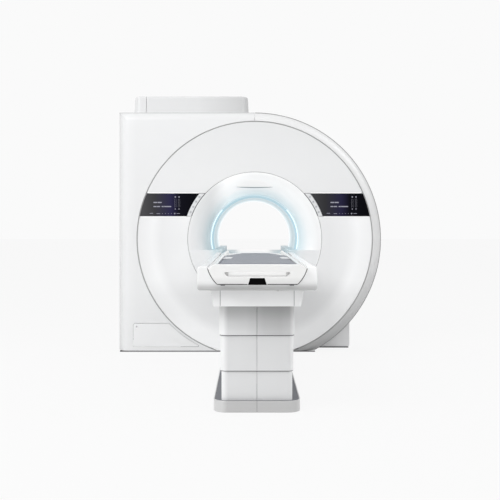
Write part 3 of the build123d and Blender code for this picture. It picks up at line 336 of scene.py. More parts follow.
def add_dot(bm, center, radius, depth, segments=20, turn=0):
    """Round or many-sided mark that faces -Y, turned about Y."""
    place = Matrix.Translation(center) @ Matrix.Rotation(turn, 4, "Y")
    place = place @ Matrix.Rotation(math.radians(90), 4, "X")
    bmesh.ops.create_cone(bm, cap_ends=True, segments=segments, radius1=radius, radius2=radius,
                          depth=depth, matrix=place)


def add_arc_tube(bm, radius, y, thickness, start_angle, end_angle, steps):
    """Round tube along an arc about the bore axis."""
    center = Vector((radius * math.cos(start_angle), y, bore_z + radius * math.sin(start_angle)))
    profile_turn = Matrix.Translation(center) @ Matrix.Rotation(-start_angle, 4, "Y")
    made = bmesh.ops.create_circle(bm, cap_ends=True, radius=thickness, segments=12, matrix=profile_turn)
    faces = list({face for vert in made["verts"] for face in vert.link_faces})
    edges = list({edge for vert in made["verts"] for edge in vert.link_edges})
    geometry = faces + edges + made["verts"]
    bmesh.ops.spin(bm, geom=geometry, cent=(0, y, bore_z), axis=(0, -1, 0), angle=end_angle - start_angle,
                   steps=steps, use_merge=False, use_duplicate=False)
    rims = [edge for edge in bm.edges if edge.is_boundary]
    bmesh.ops.holes_fill(bm, edges=rims)


def add_ribbon(bm, inner, outer, y, start_angle, end_angle, steps):
    """Flat ribbon along an arc about the bore axis, facing -Y."""
    across, up = math.cos(start_angle), math.sin(start_angle)
    ends = [bm.verts.new((radius * across, y, bore_z + radius * up)) for radius in (inner, outer)]
    edge = bm.edges.new(ends)
    bmesh.ops.spin(bm, geom=[*ends, edge], cent=(0, y, bore_z), axis=(0, -1, 0),
                   angle=end_angle - start_angle, steps=steps, use_merge=False, use_duplicate=False)


def join_rows(bm, rows):
    """Faces between neighbouring rows of points."""
    for first, second in zip(rows, rows[1:]):
        for low in range(len(first) - 1):
            bm.faces.new((first[low], first[low + 1], second[low + 1], second[low]))


def round_edges(bm, edges, radius, segments):
    """Rounds edges to a radius."""
    bmesh.ops.bevel(bm, geom=edges, offset=radius, segments=segments, profile=0.5, material=-1,
                    affect="EDGES")


def round_uprights(bm, height, radius):
    """Rounds the edges that stand upright over more than half of a height."""
    upright = [edge for edge in bm.edges if abs(edge.verts[0].co.z - edge.verts[1].co.z) > height / 2]
    round_edges(bm, upright, radius, segments=6)


def add_slab(bm, corners, bottom, height):
    """Slab over corners that are given as seen from above."""
    base = bm.faces.new([bm.verts.new((x, y, bottom)) for x, y in corners])
    raised = bmesh.ops.extrude_face_region(bm, geom=[base])
    top = [item for item in raised["geom"] if isinstance(item, bmesh.types.BMVert)]
    bmesh.ops.translate(bm, verts=top, vec=(0, 0, height))


def flare_point_y(radius):
    """Y of the flare's inner surface at a radius."""
    across = mouth_radius - throat_radius
    share = (mouth_radius - radius) / across
    return throat_y - (throat_y - face_y) * math.sqrt(max(0, 1 - share * share))


class SCANNER_OT_stage(bpy.types.Operator):
    """Builds the floor, the lamps, the world and the camera"""

    bl_idname = "scanner.stage"
    bl_label = "Studio"

    def execute(self, context):
        settings = context.scene.scanner_stage
        self.make_floor(context, settings)
        self.make_world(context, settings)
        self.make_lamps(context, settings)
        self.make_camera(context, settings)
        return {"FINISHED"}

    def make_floor(self, context, settings):
        """Wide pale floor that glows for the camera, so that its far edge shows only faintly."""
        half_floor = 60
        floor_tone = 0.93
        glow_share = 0.92
        bm = bmesh.new()
        bmesh.ops.create_grid(bm, x_segments=1, y_segments=1, size=half_floor)
        mesh = bpy.data.meshes.new("studio_floor")
        bm.to_mesh(mesh)
        bm.free()
        floor = bpy.data.objects.new("studio_floor", mesh)
        context.scene.collection.objects.link(floor)

        material, nodes, links, shader = new_material("studio_floor")
        shader.inputs["Base Color"].default_value = (floor_tone,) * 3 + (1,)
        shader.inputs["Roughness"].default_value = 0.9
        shader.inputs["Specular IOR Level"].default_value = 0.1
        glow = nodes.new("ShaderNodeEmission")
        glow.inputs["Color"].default_value = (settings.background,) * 3 + (1,)
        glow.inputs["Strength"].default_value = settings.floor_glow
        mix = nodes.new("ShaderNodeMixShader")
        seen = self.seen_by_camera(nodes, links)
        share = nodes.new("ShaderNodeMath")
        share.operation = "MULTIPLY"
        share.inputs[1].default_value = glow_share
        links.new(seen, share.inputs[0])
        links.new(share.outputs[0], mix.inputs["Fac"])
        links.new(shader.outputs["BSDF"], mix.inputs[1])
        links.new(glow.outputs["Emission"], mix.inputs[2])
        links.new(mix.outputs["Shader"], nodes["Material Output"].inputs["Surface"])
        mesh.materials.append(material)

    def seen_by_camera(self, nodes, links):
        """1 for camera, glossy and transmission rays, and 0 for light that falls on things."""
        path = nodes.new("ShaderNodeLightPath")
        seen = path.outputs["Is Camera Ray"]
        for ray in ("Is Glossy Ray", "Is Transmission Ray"):
            either = nodes.new("ShaderNodeMath")
            either.operation = "MAXIMUM"
            links.new(seen, either.inputs[0])
            links.new(path.outputs[ray], either.inputs[1])
            seen = either.outputs[0]
        return seen

    def make_world(self, context, settings):
        """Backdrop tone for the camera, and light from all sides that is stronger from above."""
        from_below = 0.3
        from_above = 1.7
        world = bpy.data.worlds.new("studio_world")
        world.use_nodes = True
        nodes = world.node_tree.nodes
        links = world.node_tree.links
        backdrop = nodes["Background"]
        backdrop.inputs["Color"].default_value = (settings.background,) * 3 + (1,)
        ambient = nodes.new("ShaderNodeBackground")
        place = nodes.new("ShaderNodeTexCoord")
        split = nodes.new("ShaderNodeSeparateXYZ")
        lift = nodes.new("ShaderNodeMapRange")
        lift.inputs["From Min"].default_value = -1
        lift.inputs["To Min"].default_value = settings.ambience * from_below
        lift.inputs["To Max"].default_value = settings.ambience * from_above
        mix = nodes.new("ShaderNodeMixShader")
        links.new(place.outputs["Generated"], split.inputs["Vector"])
        links.new(split.outputs["Z"], lift.inputs["Value"])
        links.new(lift.outputs["Result"], ambient.inputs["Strength"])
        ambient.inputs["Color"].default_value = (1, 1, 1, 1)
        links.new(self.seen_by_camera(nodes, links), mix.inputs["Fac"])
        links.new(ambient.outputs["Background"], mix.inputs[1])
        links.new(backdrop.outputs["Background"], mix.inputs[2])
        links.new(mix.outputs["Shader"], nodes["World Output"].inputs["Surface"])
        context.scene.world = world

    def make_lamps(self, context, settings):
        """One large lamp at the upper left, one at the upper right and a soft one behind the camera."""
        # name, place, target, size, power
        lamps = (
            ("key_lamp", (-4.5, -6.5, 6.0), (0, -1.2, 1.0), 4.5, settings.key_power),
            ("fill_lamp", (5.5, -4.5, 5.5), (0, -1.0, 1.0), 4.0, settings.fill_power),
            ("front_lamp", (0, -10.0, 2.2), (0, -1.0, 1.0), 3.0, settings.front_power),
        )
        for name, place, target, size, power in lamps:
            lamp = bpy.data.lights.new(name, "AREA")
            lamp.size = size
            lamp.energy = power
            lamp_object = bpy.data.objects.new(name, lamp)
            lamp_object.location = place
            aim = Vector(target) - Vector(place)
            lamp_object.rotation_euler = aim.to_track_quat("-Z", "Y").to_euler()
            context.scene.collection.objects.link(lamp_object)

    def make_camera(self, context, settings):
        """Level camera at the photograph's angle, with its frame moved down by a shift."""
        lens = bpy.data.cameras.new("front_camera")
        lens.lens = settings.focal_length
        lens.sensor_width = 36
        lens.shift_y = settings.horizon_shift
        camera = bpy.data.objects.new("front_camera", lens)
        camera.location = (settings.camera_x, settings.camera_y, settings.camera_z)
        camera.rotation_euler = (math.radians(90), 0, 0)
        context.scene.collection.objects.link(camera)
        context.scene.camera = camera
        context.scene.view_settings.view_transform = "Standard"


class SCANNER_OT_covers(bpy.types.Operator):
    """Coats the covers and the bezel with painted shade and light, and adds grey and dark strips as painted
    shade in the gap round the face and under the feet
    """

    bl_idname = "scanner.covers"
    bl_label = "Covers"

    def execute(self, context):
        settings = context.scene.scanner_covers
        dress(self.gloss(settings, "cover_gloss_white"), "left_flank_cover", "rear_cover", "service_door")
        self.coat_face(settings)
        self.coat_flank_and_turret(settings)
        self.coat_bezel(settings)
        self.add_foot_shadow_strips()
        self.add_face_gap_shade()
        return {"FINISHED"}

    def gloss(self, settings, name, lift=1):
        """Gloss coat in the covers' colour, lifted by a factor; a lift above 1 is painted light."""
        color = [channel * lift for channel in settings.cover_color]
        return coated(name, color, settings.gloss_roughness, settings.grain_depth)

    def coat_face(self, settings):
        """Front cover and the two panels of the round face, with painted shade and painted light across them.
        """
        side_band = 0.16
        top_band = 0.04
        low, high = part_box("left_front_cover")
        front = self.gloss(settings, "front_cover_white_painted_shade")
        # painted shade along the cover's left edge, with a painted highlight just inside it
        shade_along(front, "X", low.x, low.x + side_band, (
            (0, 0.75), (0.08, 0.87), (0.3, 0.97), (0.5, 0.99), (1, 0.95),
        ))
        # painted shade along the cover's top edge
        shade_along(front, "Z", high.z - top_band, high.z, ((0, 1), (0.55, 0.95), (1, 0.6)))
        dress(front, "left_front_cover")
        # the lower panel's lift is painted light; painted shade darkens its ends, a painted shadow lies right
        # of the table and across a band at mid height, and painted light glows near its rim
        lower = self.gloss(settings, "lower_panel_white_painted_light_and_shade", lift=1.06)
        shade_along(lower, "X", -face_radius, face_radius, (
            (0, 0.84), (0.08, 0.92), (0.2, 0.98), (0.55, 0.98), (0.68, 0.93), (0.82, 0.92), (0.9, 0.98),
            (1, 0.92),
        ))
        shade_along(lower, "Z", 0, 1, ((0, 1), (0.2, 1), (0.33, 0.94), (0.5, 0.93), (0.64, 1), (1, 1)))
        glow_along(lower, "X", 0, face_radius, ((0, 0), (0.8, 0), (0.88, 0.08), (1, 0.06)), radial=True)
        dress(lower, "front_lower_panel")
        # painted shade darkens the upper panel towards its top
        upper = self.gloss(settings, "panel_gloss_white")
        shade_along(upper, "Z", bore_z, bore_z + face_radius, ((0, 0.95), (0.55, 0.95), (1, 0.9)))
        dress(upper, "front_upper_panel")

    def coat_flank_and_turret(self, settings):
        """Right flank, paler at the floor by painted light and with painted shade just above it, and the
        turret, darker at its right by painted shade.
        """
        flank = self.gloss(settings, "flank_white_painted_light_and_shade")
        shade_along(flank, "Z", 0, 1, ((0, 0.98), (0.3, 0.92), (0.6, 1), (1, 1)))
        glow_along(flank, "Z", 0, 1, ((0, 0.08), (0.15, 0.07), (1, 0)))
        dress(flank, "right_flank_cover")
        low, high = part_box("turret_cover")
        turret = self.gloss(settings, "turret_white_painted_shade")
        shade_along(turret, "X", low.x, high.x, ((0, 0.92), (0.5, 0.91), (1, 0.73)))
        dress(turret, "turret_cover", "turret_side_cover")

    def coat_bezel(self, settings):
        """Satin bezel with a grain drawn out along the bore, with painted shade darker below and at its outer
        rim.
        """
        shade_top = 2.1
        rim_band = 0.03
        rim_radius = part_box("bezel_ring")[1].z - bore_z
        bezel = coated("bezel_satin_silver_painted_shade", tuple(settings.bezel_color), 0.42, settings.grain_depth,
                       grain=260, metallic=0.15, stretch=(1, 0.06, 1))
        shade_along(bezel, "Z", 0, shade_top, (
            (0, 0.36), (0.03, 0.52), (0.083, 0.61), (0.166, 0.69), (0.268, 0.75), (0.39, 0.87), (0.5, 0.89),
            (0.6, 0.88), (0.75, 0.95), (0.86, 1), (1, 1),
        ))
        shade_along(bezel, "X", rim_radius - rim_band, rim_radius, (
            (0, 1), (0.5, 0.98), (0.62, 0.6), (0.75, 0.2), (1, 0.12),
        ), radial=True)
        dress(bezel, "bezel_ring")

    def add_face_gap_shade(self):
        """Grey ring in the gap round the face as painted shade of the gap, open at the bottom."""
        gap = 0.0005
        width = 0.008
        sunk = 0.006
        steps = 180
        bm = bmesh.new()
        add_ribbon(bm, face_radius + gap, face_radius + gap + width, face_y + sunk,
                   math.radians(-68), math.radians(248), steps)
        finish_piece("face_gap_shade", bm, "scanner",
                     coated("face_gap_shade_grey", (0.42, 0.42, 0.42), 0.6, 0.0001))

    def add_foot_shadow_strips(self):
        """Dark strips as painted shadow between the feet of the covers and the floor."""
        bottom = 0.0005
        top = 0.0095
        width = 0.01
        left = -1.195
        middle = 0.535
        right = 0.86
        front = -0.846
        step = -0.604
        back = 0.604
        bm = bmesh.new()
        add_plate(bm, (left, front, bottom), (middle, front + width, top))
        add_plate(bm, (middle + width, step, bottom), (right, step + width, top))
        add_plate(bm, (left, front + width, bottom), (left + width, back, top))
        add_plate(bm, (right - width, step + width, bottom), (right, back, top))
        finish_piece("foot_shadow_strips", bm, "scanner",
                     coated("foot_shadow_strip_dark", (0.05, 0.05, 0.052), 0.7, 0.0001))


class SCANNER_OT_displays(bpy.types.Operator):
    """Finishes both displays and puts generic marks on them"""

    bl_idname = "scanner.displays"
    bl_label = "Displays"

    def execute(self, context):
        settings = context.scene.scanner_displays
        marks = lit("display_marks", tuple(settings.mark_color), 1, spread=0.3)
        # white strips with a faint glow are a painted highlight over and under each display
        highlight_strip = coated("display_highlight_strip_white", (0.93, 0.93, 0.93), 0.3, 0.00002)
        shader_of(highlight_strip).inputs["Emission Color"].default_value = (1, 1, 1, 1)
        shader_of(highlight_strip).inputs["Emission Strength"].default_value = 0.06
        # side, place of its marks from its left end, side of the bore, brightness of its glow
        for side, reach, sign, brightness in (("left", 0.122, -1, 1.3), ("right", 0.178, 1, 0.9)):
            low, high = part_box(f"{side}_display")
            glass = self.make_glass(side, settings)
            dress(glass, f"{side}_display")
            glow_along(glass, "X", low.x, high.x, (
                (0, (0.062, 0.062, 0.064)), (0.25, (0.035, 0.035, 0.038)),
                (0.52, tuple(settings.glow_color)), (0.66, (0.003, 0.003, 0.006)), (1, 0),
            ))
            shader_of(glass).inputs["Emission Strength"].default_value = brightness
            bm = bmesh.new()
            self.add_marks(bm, low.x + reach, high.z, settings.mark_rise)
            finish_piece(f"{side}_display_marks", bm, "scanner", marks)
            bm = bmesh.new()
            self.add_highlight_strip(bm, sign, low.z, high.z, settings.mark_rise)
            finish_piece(f"{side}_display_highlight_strip", bm, "scanner", highlight_strip)
        return {"FINISHED"}

    def add_highlight_strip(self, bm, sign, bottom, top, rise):
        """White strip over and under the glass as a painted highlight, ended by the round face and by the
        flare.
        """
        height = 0.009
        gap = 0.003
        outer_gap = 0.012
        strip_width = 0.05
        for low in (bottom - gap - height, top + gap):
            middle = low + height / 2 - bore_z
            outer = math.sqrt(face_radius ** 2 - middle ** 2) - outer_gap
            inner = math.sqrt((mouth_radius + strip_width) ** 2 - middle ** 2)
            ends = sorted((sign * inner, sign * outer))
            add_plate(bm, (ends[0], face_y - rise, low), (ends[1], face_y, low + height))

    def make_glass(self, side, settings):
        """Black glass with a fine grain."""
        grain = 500
        grain_depth = 0.00001
        material, nodes, links, shader = new_material(f"{side}_display_glass")
        shader.inputs["Base Color"].default_value = (*settings.glass_color, 1)
        shader.inputs["Roughness"].default_value = 0.12
        shader.inputs["Specular IOR Level"].default_value = 0.02
        fine = noise_on_object(nodes, links, grain)
        raise_relief(nodes, links, shader, fine.outputs["Fac"], grain_depth)
        return material

    def add_marks(self, bm, left, top, rise):
        """Two rows of short bars, two upright outlines with dots, and a row of small symbols."""
        front = face_y - rise
        middle = face_y - rise / 2
        # start, length, distance below the top, thickness
        bars = (
            (0.0, 0.032, 0.078, 0.010), (0.036, 0.036, 0.078, 0.010),
            (0.0, 0.026, 0.114, 0.009), (0.030, 0.028, 0.114, 0.009),
            (0.072, 0.018, 0.114, 0.009), (0.094, 0.062, 0.114, 0.009),
            (-0.034, 0.030, 0.174, 0.004), (0.028, 0.030, 0.177, 0.004),
            (0.204, 0.030, 0.176, 0.004),
        )
        # start, distance below the top, radius
        dots = (
            (0.079, 0.176, 0.0026), (0.106, 0.176, 0.0026), (0.132, 0.176, 0.0026), (0.158, 0.176, 0.0026),
            (0.187, 0.176, 0.0062),
            (0.193, 0.029, 0.0062), (0.193, 0.136, 0.0048), (0.226, 0.029, 0.0062), (0.226, 0.136, 0.0048),
        )
        outline_starts = (0.186, 0.199, 0.219, 0.232)
        outline_top = 0.045
        outline_bottom = 0.122
        outline_width = 0.001
        for start, length, drop, thickness in bars:
            add_plate(bm, (left + start, front, top - drop - thickness / 2),
                      (left + start + length, face_y, top - drop + thickness / 2))
        for start, drop, radius in dots:
            add_dot(bm, (left + start, middle, top - drop), radius, rise)
        for start in outline_starts:
            add_plate(bm, (left + start, front, top - outline_bottom),
                      (left + start + outline_width, face_y, top - outline_top))


class SCANNER_OT_controls(bpy.types.Operator):
    """Finishes the control strips, their buttons and the symbols on them"""

    bl_idname = "scanner.controls"
    bl_label = "Control strips"

    def execute(self, context):
        rise = context.scene.scanner_displays.mark_rise
        strip = coated("strip_matt_grey", (0.76, 0.77, 0.78), 0.45, 0.00006, grain=600)
        cap = coated("button_matt_grey", (0.62, 0.63, 0.65), 0.5, 0.00006, grain=700)
        symbol = coated("button_symbol_dark", (0.32, 0.33, 0.35), 0.5, 0.00002)
        # dark ribbons along each strip's inner edge are painted shade of the gap there
        gap_shade = coated("strip_gap_shade_dark", (0.07, 0.07, 0.075), 0.6, 0.0001)
        low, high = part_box("left_control_strip")
        start = math.asin((low.z - bore_z) / mouth_radius)
        end = math.asin((high.z - bore_z) / mouth_radius)
        overlap = 0.0005
        width = 0.007
        steps = 24
        for side, sign, flip in (("left", -1, math.pi), ("right", 1, 0)):
            bm = bmesh.new()
            add_ribbon(bm, mouth_radius - overlap, mouth_radius - overlap + width, face_y - rise,
                       flip + sign * start, flip + sign * end, steps)
            finish_piece(f"{side}_strip_gap_shade", bm, "scanner", gap_shade)
            dress(strip, f"{side}_control_strip")
            for number in range(1, 5):
                button = f"{side}_button_{number}"
                dress(cap, button)
                low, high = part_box(button)
                center = Vector(((low.x + high.x) / 2, low.y - rise / 2, (low.z + high.z) / 2))
                bm = bmesh.new()
                self.add_symbol(bm, number, center, rise)
                finish_piece(f"{button}_symbol", bm, button, symbol)
        return {"FINISHED"}

    def add_symbol(self, bm, number, center, rise):
        """Plain symbol for a button: an arrow to +X, an arrow to -X, a dot or a bar."""
        arrow_radius = 0.0055
        dot_radius = 0.0045
        bar_half = Vector((0.0055, rise / 2, 0.0016))
        if number <= 2:
            turn = math.radians(30 if number == 2 else -30)
            add_dot(bm, center, arrow_radius, rise, segments=3, turn=turn)
        elif number == 3:
            add_dot(bm, center, dot_radius, rise)
        else:
            add_plate(bm, center - bar_half, center + bar_half)


class SCANNER_OT_bore(bpy.types.Operator):
    """Finishes the flares, the liner, the bridge and the light of the bore"""

    bl_idname = "scanner.bore"
    bl_label = "Bore"

    # Share of a darkening that red, green and blue take, where the bore light tints a coat
    blue = (1, 0.5, 0.36)

    # Size of the brow under the crown of the flare
    brow_half = 0.168
    brow_drop = 0.4665
    brow_columns = 40

    def execute(self, context):
        settings = context.scene.scanner_bore
        self.coat_flares()
        self.coat_bridge()
        self.coat_liner()
        self.add_lights(settings)
        self.add_brow()
        self.add_brow_shadow()
        return {"FINISHED"}

    def coat_flares(self):
        """Front flare with painted light and shade, tinted blue towards the light ring and palest left of its
        middle, and the plain rear flare.
        """
        flare = coated("flare_gloss_white", (0.88, 0.885, 0.89), 0.2, 0.00003)
        # the front flare's glow is painted light, its blue tint painted bore light, and its darker left side
        # and outer edge painted shade
        glow_along(flare, "X", -mouth_radius, mouth_radius, (
            (0, 0.06), (0.08, (0.03, 0.032, 0.034)), (0.16, (0.05, 0.052, 0.054)),
            (0.3, 0.27), (0.5, 0.15), (0.75, 0.16), (1, 0.13),
        ))
        shade_along(flare, "X", throat_radius, mouth_radius, (
            (0, 0.74), (0.12, 0.82), (0.24, 0.91), (0.38, 0.98), (1, 1),
        ), self.blue, radial=True)
        shade_along(flare, "X", throat_radius, mouth_radius, (
            (0, 1), (0.6, 1), (0.85, 0.93), (1, 0.92),
        ), radial=True)
        shade_along(flare, "X", -mouth_radius, mouth_radius, (
            (0, 0.99), (0.08, 0.94), (0.18, 0.88), (0.3, 0.97), (0.5, 1), (1, 1),
        ))
        dress(flare, "front_flare")
        dress(coated("rear_flare_gloss_white", (0.86, 0.865, 0.87), 0.2, 0.00003), "rear_flare")

    def coat_bridge(self):
        """Bridge that carries the track into the bore, tinted by painted bore light near the light ring and
        paler at its middle by painted light.
        """
        tint_start = throat_radius * 0.5
        tint_end = throat_radius * 1.2
        bridge = coated("bridge_satin_white_painted_light", (0.84, 0.85, 0.86), 0.35, 0.00005)
        shade_along(bridge, "X", tint_start, tint_end, (
            (0, 1), (0.15, 0.97), (0.4, 0.78), (0.6, 0.76), (0.8, 0.95), (1, 1),
        ), self.blue, radial=True)
        glow_along(bridge, "X", 0, throat_radius, (
            (0, (0.3, 0.26, 0.24)), (0.5, (0.3, 0.26, 0.24)), (0.62, 0), (1, 0),
        ), radial=True)
        dress(bridge, "bore_bridge")

    def coat_liner(self):
        """Liner whose painted light grows paler towards the open rear end."""
        low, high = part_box("bore_liner")
        liner = coated("liner_satin_white_painted_light", (0.5, 0.56, 0.58), 0.35, 0.00005)
        glow_along(liner, "Y", low.y, high.y, (
            (0, (0.14, 0.19, 0.21)), (0.4, (0.13, 0.175, 0.19)),
            (0.7, (0.26, 0.3, 0.315)), (1, (0.54, 0.56, 0.57)),
        ))
        dress(liner, "bore_liner")

    def add_lights(self, settings):
        """Diffuser ring with two bright arcs at its sides and a faint one over them."""
        steps = 48
        side_thickness = 0.0042
        top_thickness = 0.0036
        light = tuple(settings.light_color)
        pale_light = tuple(0.3 + channel * 0.7 for channel in light)
        dress(lit("ring_diffuser", light, settings.ring_strength), "bore_light_ring")
        # name, first and last angle in degrees, thickness, strength
        arcs = (
            ("left_light_arc", 138, 194, side_thickness, settings.arc_strength),
            ("right_light_arc", -14, 42, side_thickness, settings.arc_strength),
            ("top_light_arc", 43, 137, top_thickness, settings.top_strength),
        )
        for name, start, end, thickness, strength in arcs:
            bm = bmesh.new()
            add_arc_tube(bm, settings.arc_radius, throat_y - thickness, thickness,
                         math.radians(start), math.radians(end), steps)
            finish_piece(name, bm, "scanner", lit(name, pale_light, strength))

    def add_brow(self):
        """Lens-shaped lip under the crown of the flare, glowing with painted light."""
        lens_height = 0.06
        depth = 0.007
        clearance = 0.0006
        wall = 0.002
        rows = 8
        glow_height = 0.05
        bm = bmesh.new()
        bmesh.ops.create_grid(bm, x_segments=self.brow_columns, y_segments=rows, size=1)
        for vert in bm.verts:
            across = vert.co.x
            along = (vert.co.y + 1) / 2
            x = across * self.brow_half
            lens = 1 - across * across
            height = self.brow_drop + along * lens_height * lens
            swell = depth * lens * (1 - along) ** 2 + clearance
            vert.co = (x, flare_point_y(math.hypot(x, height)) - swell, bore_z + height)
        bmesh.ops.solidify(bm, geom=bm.faces, thickness=wall)
        brow = coated("flare_brow_white_painted_light", (0.9, 0.9, 0.9), 0.2, 0.00003)
        glow_low = bore_z + self.brow_drop
        glow_along(brow, "Z", glow_low, glow_low + glow_height, ((0, 0.19), (0.3, 0.14), (1, 0.11)))
        finish_piece("flare_brow", bm, "scanner", brow)

    def add_brow_shadow(self):
        """Grey strip below the brow as painted shadow under its lip, thin at its ends."""
        gap = 0.0022
        line_height = 0.008
        proud = 0.0016
        bm = bmesh.new()
        rows = []
        for step in range(self.brow_columns + 1):
            across = 2 * step / self.brow_columns - 1
            x = across * self.brow_half
            row = []
            for edge in (0, 1):
                height = self.brow_drop - gap - edge * line_height * math.sqrt(1 - across * across)
                y = flare_point_y(math.hypot(x, height)) - proud
                row.append(bm.verts.new((x, y, bore_z + height)))
            rows.append(row)
        join_rows(bm, rows)
        finish_piece("flare_brow_shadow", bm, "scanner",
                     coated("brow_shadow_grey", (0.3, 0.33, 0.35), 0.6, 0.0001))


class SCANNER_OT_table(bpy.types.Operator):
    """Finishes the cradle, the table frame and the drive below it"""

    bl_idname = "scanner.table"
    bl_label = "Table"

    def execute(self, context):
        self.coat_covers()
        self.add_groove_lines()
        self.coat_cradle()
        self.add_edge_shadow()
        self.add_handle_back()
        self.add_brushes()
        dress(coated("belt_rubber", (0.02, 0.02, 0.02), 0.7, 0.0006, grain=90, stretch=(0.1, 1, 1)),
              "drive_belt")
        dress(coated("pulley_turned", (0.62, 0.62, 0.63), 0.3, 0.0001, metallic=1, stretch=(6, 1, 1)),
              "drive_pulley", "idler_pulley")
        dress(coated("motor_black", (0.03, 0.03, 0.032), 0.45), "drive_motor")
        return {"FINISHED"}

    def coat_covers(self):
        """Table frame with painted shade under its wings and towards its left, and the under-box with a
        painted highlight at its foot.
        """
        wing_band = 0.056
        low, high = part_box("table_frame")
        white = coated("table_white_painted_shade", (0.96, 0.965, 0.97), 0.25, 0.00005)
        shade_along(white, "X", low.x, high.x, ((0, 0.89), (1, 1)))
        shade_along(white, "Z", wing_low_z, wing_low_z + wing_band, (
            (0, 0.52), (0.36, 0.63), (0.75, 0.92), (1, 1),
        ))
        dress(white, "table_frame")
        low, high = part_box("under_box")
        box = coated("box_white_painted_highlight", (0.81, 0.815, 0.82), 0.25, 0.00005)
        glow_along(box, "Z", low.z, high.z, ((0, 0.2), (0.03, 0.1), (1, 0)))
        dress(box, "under_box")

    def coat_cradle(self):
        """Cradle with painted shade at its heel, with its glide strips and its black latch."""
        heel_band = 0.045
        block = coated("cradle_white_painted_shade", (0.85, 0.85, 0.845), 0.22, 0.00004)
        shade_along(block, "Z", heel_z, heel_z + heel_band, ((0, 0.8), (0.5, 0.9), (1, 1)))
        dress(block, "cradle")
        dress(coated("glide_grey", (0.1, 0.1, 0.105), 0.5), "glide_strips")
        latch = coated("latch_black", (0.002, 0.002, 0.0022), 0.7, 0.0001, grain=900)
        shader_of(latch).inputs["Specular IOR Level"].default_value = 0.03
        dress(latch, "release_latch")

    def edge_shadow_line(self, latch_half):
        """Points of the dark strip's outer edge on one side, from the shoulder down to the latch.

        Each point comes with the direction from it into the cradle's front.
        """
        bow = 0.007
        drop = 0.024
        heel_half = 0.228
        heel_curve = 0.0073
        near_latch = 0.15
        side_steps = 16
        curve_steps = 5
        shoulder = Vector((block_high.x, 0, block_high.z - drop))
        heel = Vector((heel_half, 0, heel_z))
        length = (heel - shoulder).length
        side = (heel - shoulder).normalized()
        out = Vector((-side.z, 0, side.x))
        straight = 1 - heel_curve / length
        line = []
        for step in range(side_steps + 1):
            share = straight * step / side_steps
            point = shoulder.lerp(heel, share) + out * bow * 4 * share * (1 - share)
            slope = (side + out * (bow * 4 * (1 - 2 * share) / length)).normalized()
            line.append((point, Vector((slope.z, 0, -slope.x))))
        up = Vector((0, 0, 1))
        first, first_inward = line[-1]
        last = heel - Vector((heel_curve, 0, 0))
        for step in range(1, curve_steps + 1):
            share = step / curve_steps
            point = first.lerp(heel, share).lerp(heel.lerp(last, share), share)
            line.append((point, first_inward.lerp(up, share).normalized()))
        for x in (near_latch, latch_half):
            line.append((Vector((x, 0, heel.z)), up))
        return line

    def add_edge_shadow(self):
        """Dark strip let into the rounded edge of the cradle's front as painted shade of the gap round it,
        from each shoulder to the latch.
        """
        edge_radius = 0.006
        latch_half = 0.056
        proud = 0.0005
        insets = (0.0008, 0.003, 0.0055)
        line = self.edge_shadow_line(latch_half)
        bm = bmesh.new()
        for sign in (1, -1):
            rows = []
            for point, inward in line:
                row = []
                for inset in insets:
                    depth = edge_radius - math.sqrt(edge_radius ** 2 - (edge_radius - inset) ** 2)
                    spot = point + inward * inset
                    row.append(bm.verts.new((sign * spot.x, block_low.y + depth - proud, spot.z)))
                rows.append(row)
            join_rows(bm, rows)
        finish_piece("cradle_edge_shadow", bm, "cradle",
                     coated("shadow_strip_dark", (0.03, 0.03, 0.032), 0.6, 0.0001))

    def add_groove_lines(self):
        """Dark strips in the two upright grooves at the front of the under-box, painted shade in the grooves.
        """
        groove_x = 0.215
        half_width = 0.0016
        front_gap = 0.0006
        thickness = 0.001
        bottom_gap = 0.002
        top_gap = 0.004
        low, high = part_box("under_box")
        front = low.y + front_gap
        bm = bmesh.new()
        for side in (-1, 1):
            add_plate(bm, (side * groove_x - half_width, front, low.z + bottom_gap),
                      (side * groove_x + half_width, front + thickness, high.z - top_gap))
        finish_piece("groove_shade_strips", bm, "table",
                     coated("groove_shade_grey", (0.3, 0.3, 0.31), 0.6, 0.0001))

    def add_handle_back(self):
        """Glowing pale plate at the back of the handle slot, painted light in the recess."""
        half_width = 0.163
        thickness = 0.001
        front = block_low.y + 0.0345
        bottom = block_high.z - 0.065
        top = block_high.z - 0.045
        bm = bmesh.new()
        add_plate(bm, (-half_width, front, bottom), (half_width, front + thickness, top))
        finish_piece("handle_back_painted_light", bm, "cradle",
                     lit("handle_back_painted_light", (1, 1, 1), 0.35, body=0.85, spread=0.02))

    def add_brushes(self):
        """Pale brush strips in the gaps between the cradle and the wings."""
        inner = 0.2836
        outer = 0.2874
        height = 0.006
        end_gap = 0.006
        top = block_high.z - 0.0246
        low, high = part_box("table_frame")
        bm = bmesh.new()
        for side in (-1, 1):
            ends = sorted((side * inner, side * outer))
            add_plate(bm, (ends[0], low.y + end_gap, top - height), (ends[1], high.y - end_gap, top))
        finish_piece("gap_brushes", bm, "table",
                     coated("brush_pale", (0.78, 0.79, 0.8), 0.9, 0.0008, grain=1500, stretch=(1, 1, 0.05)))


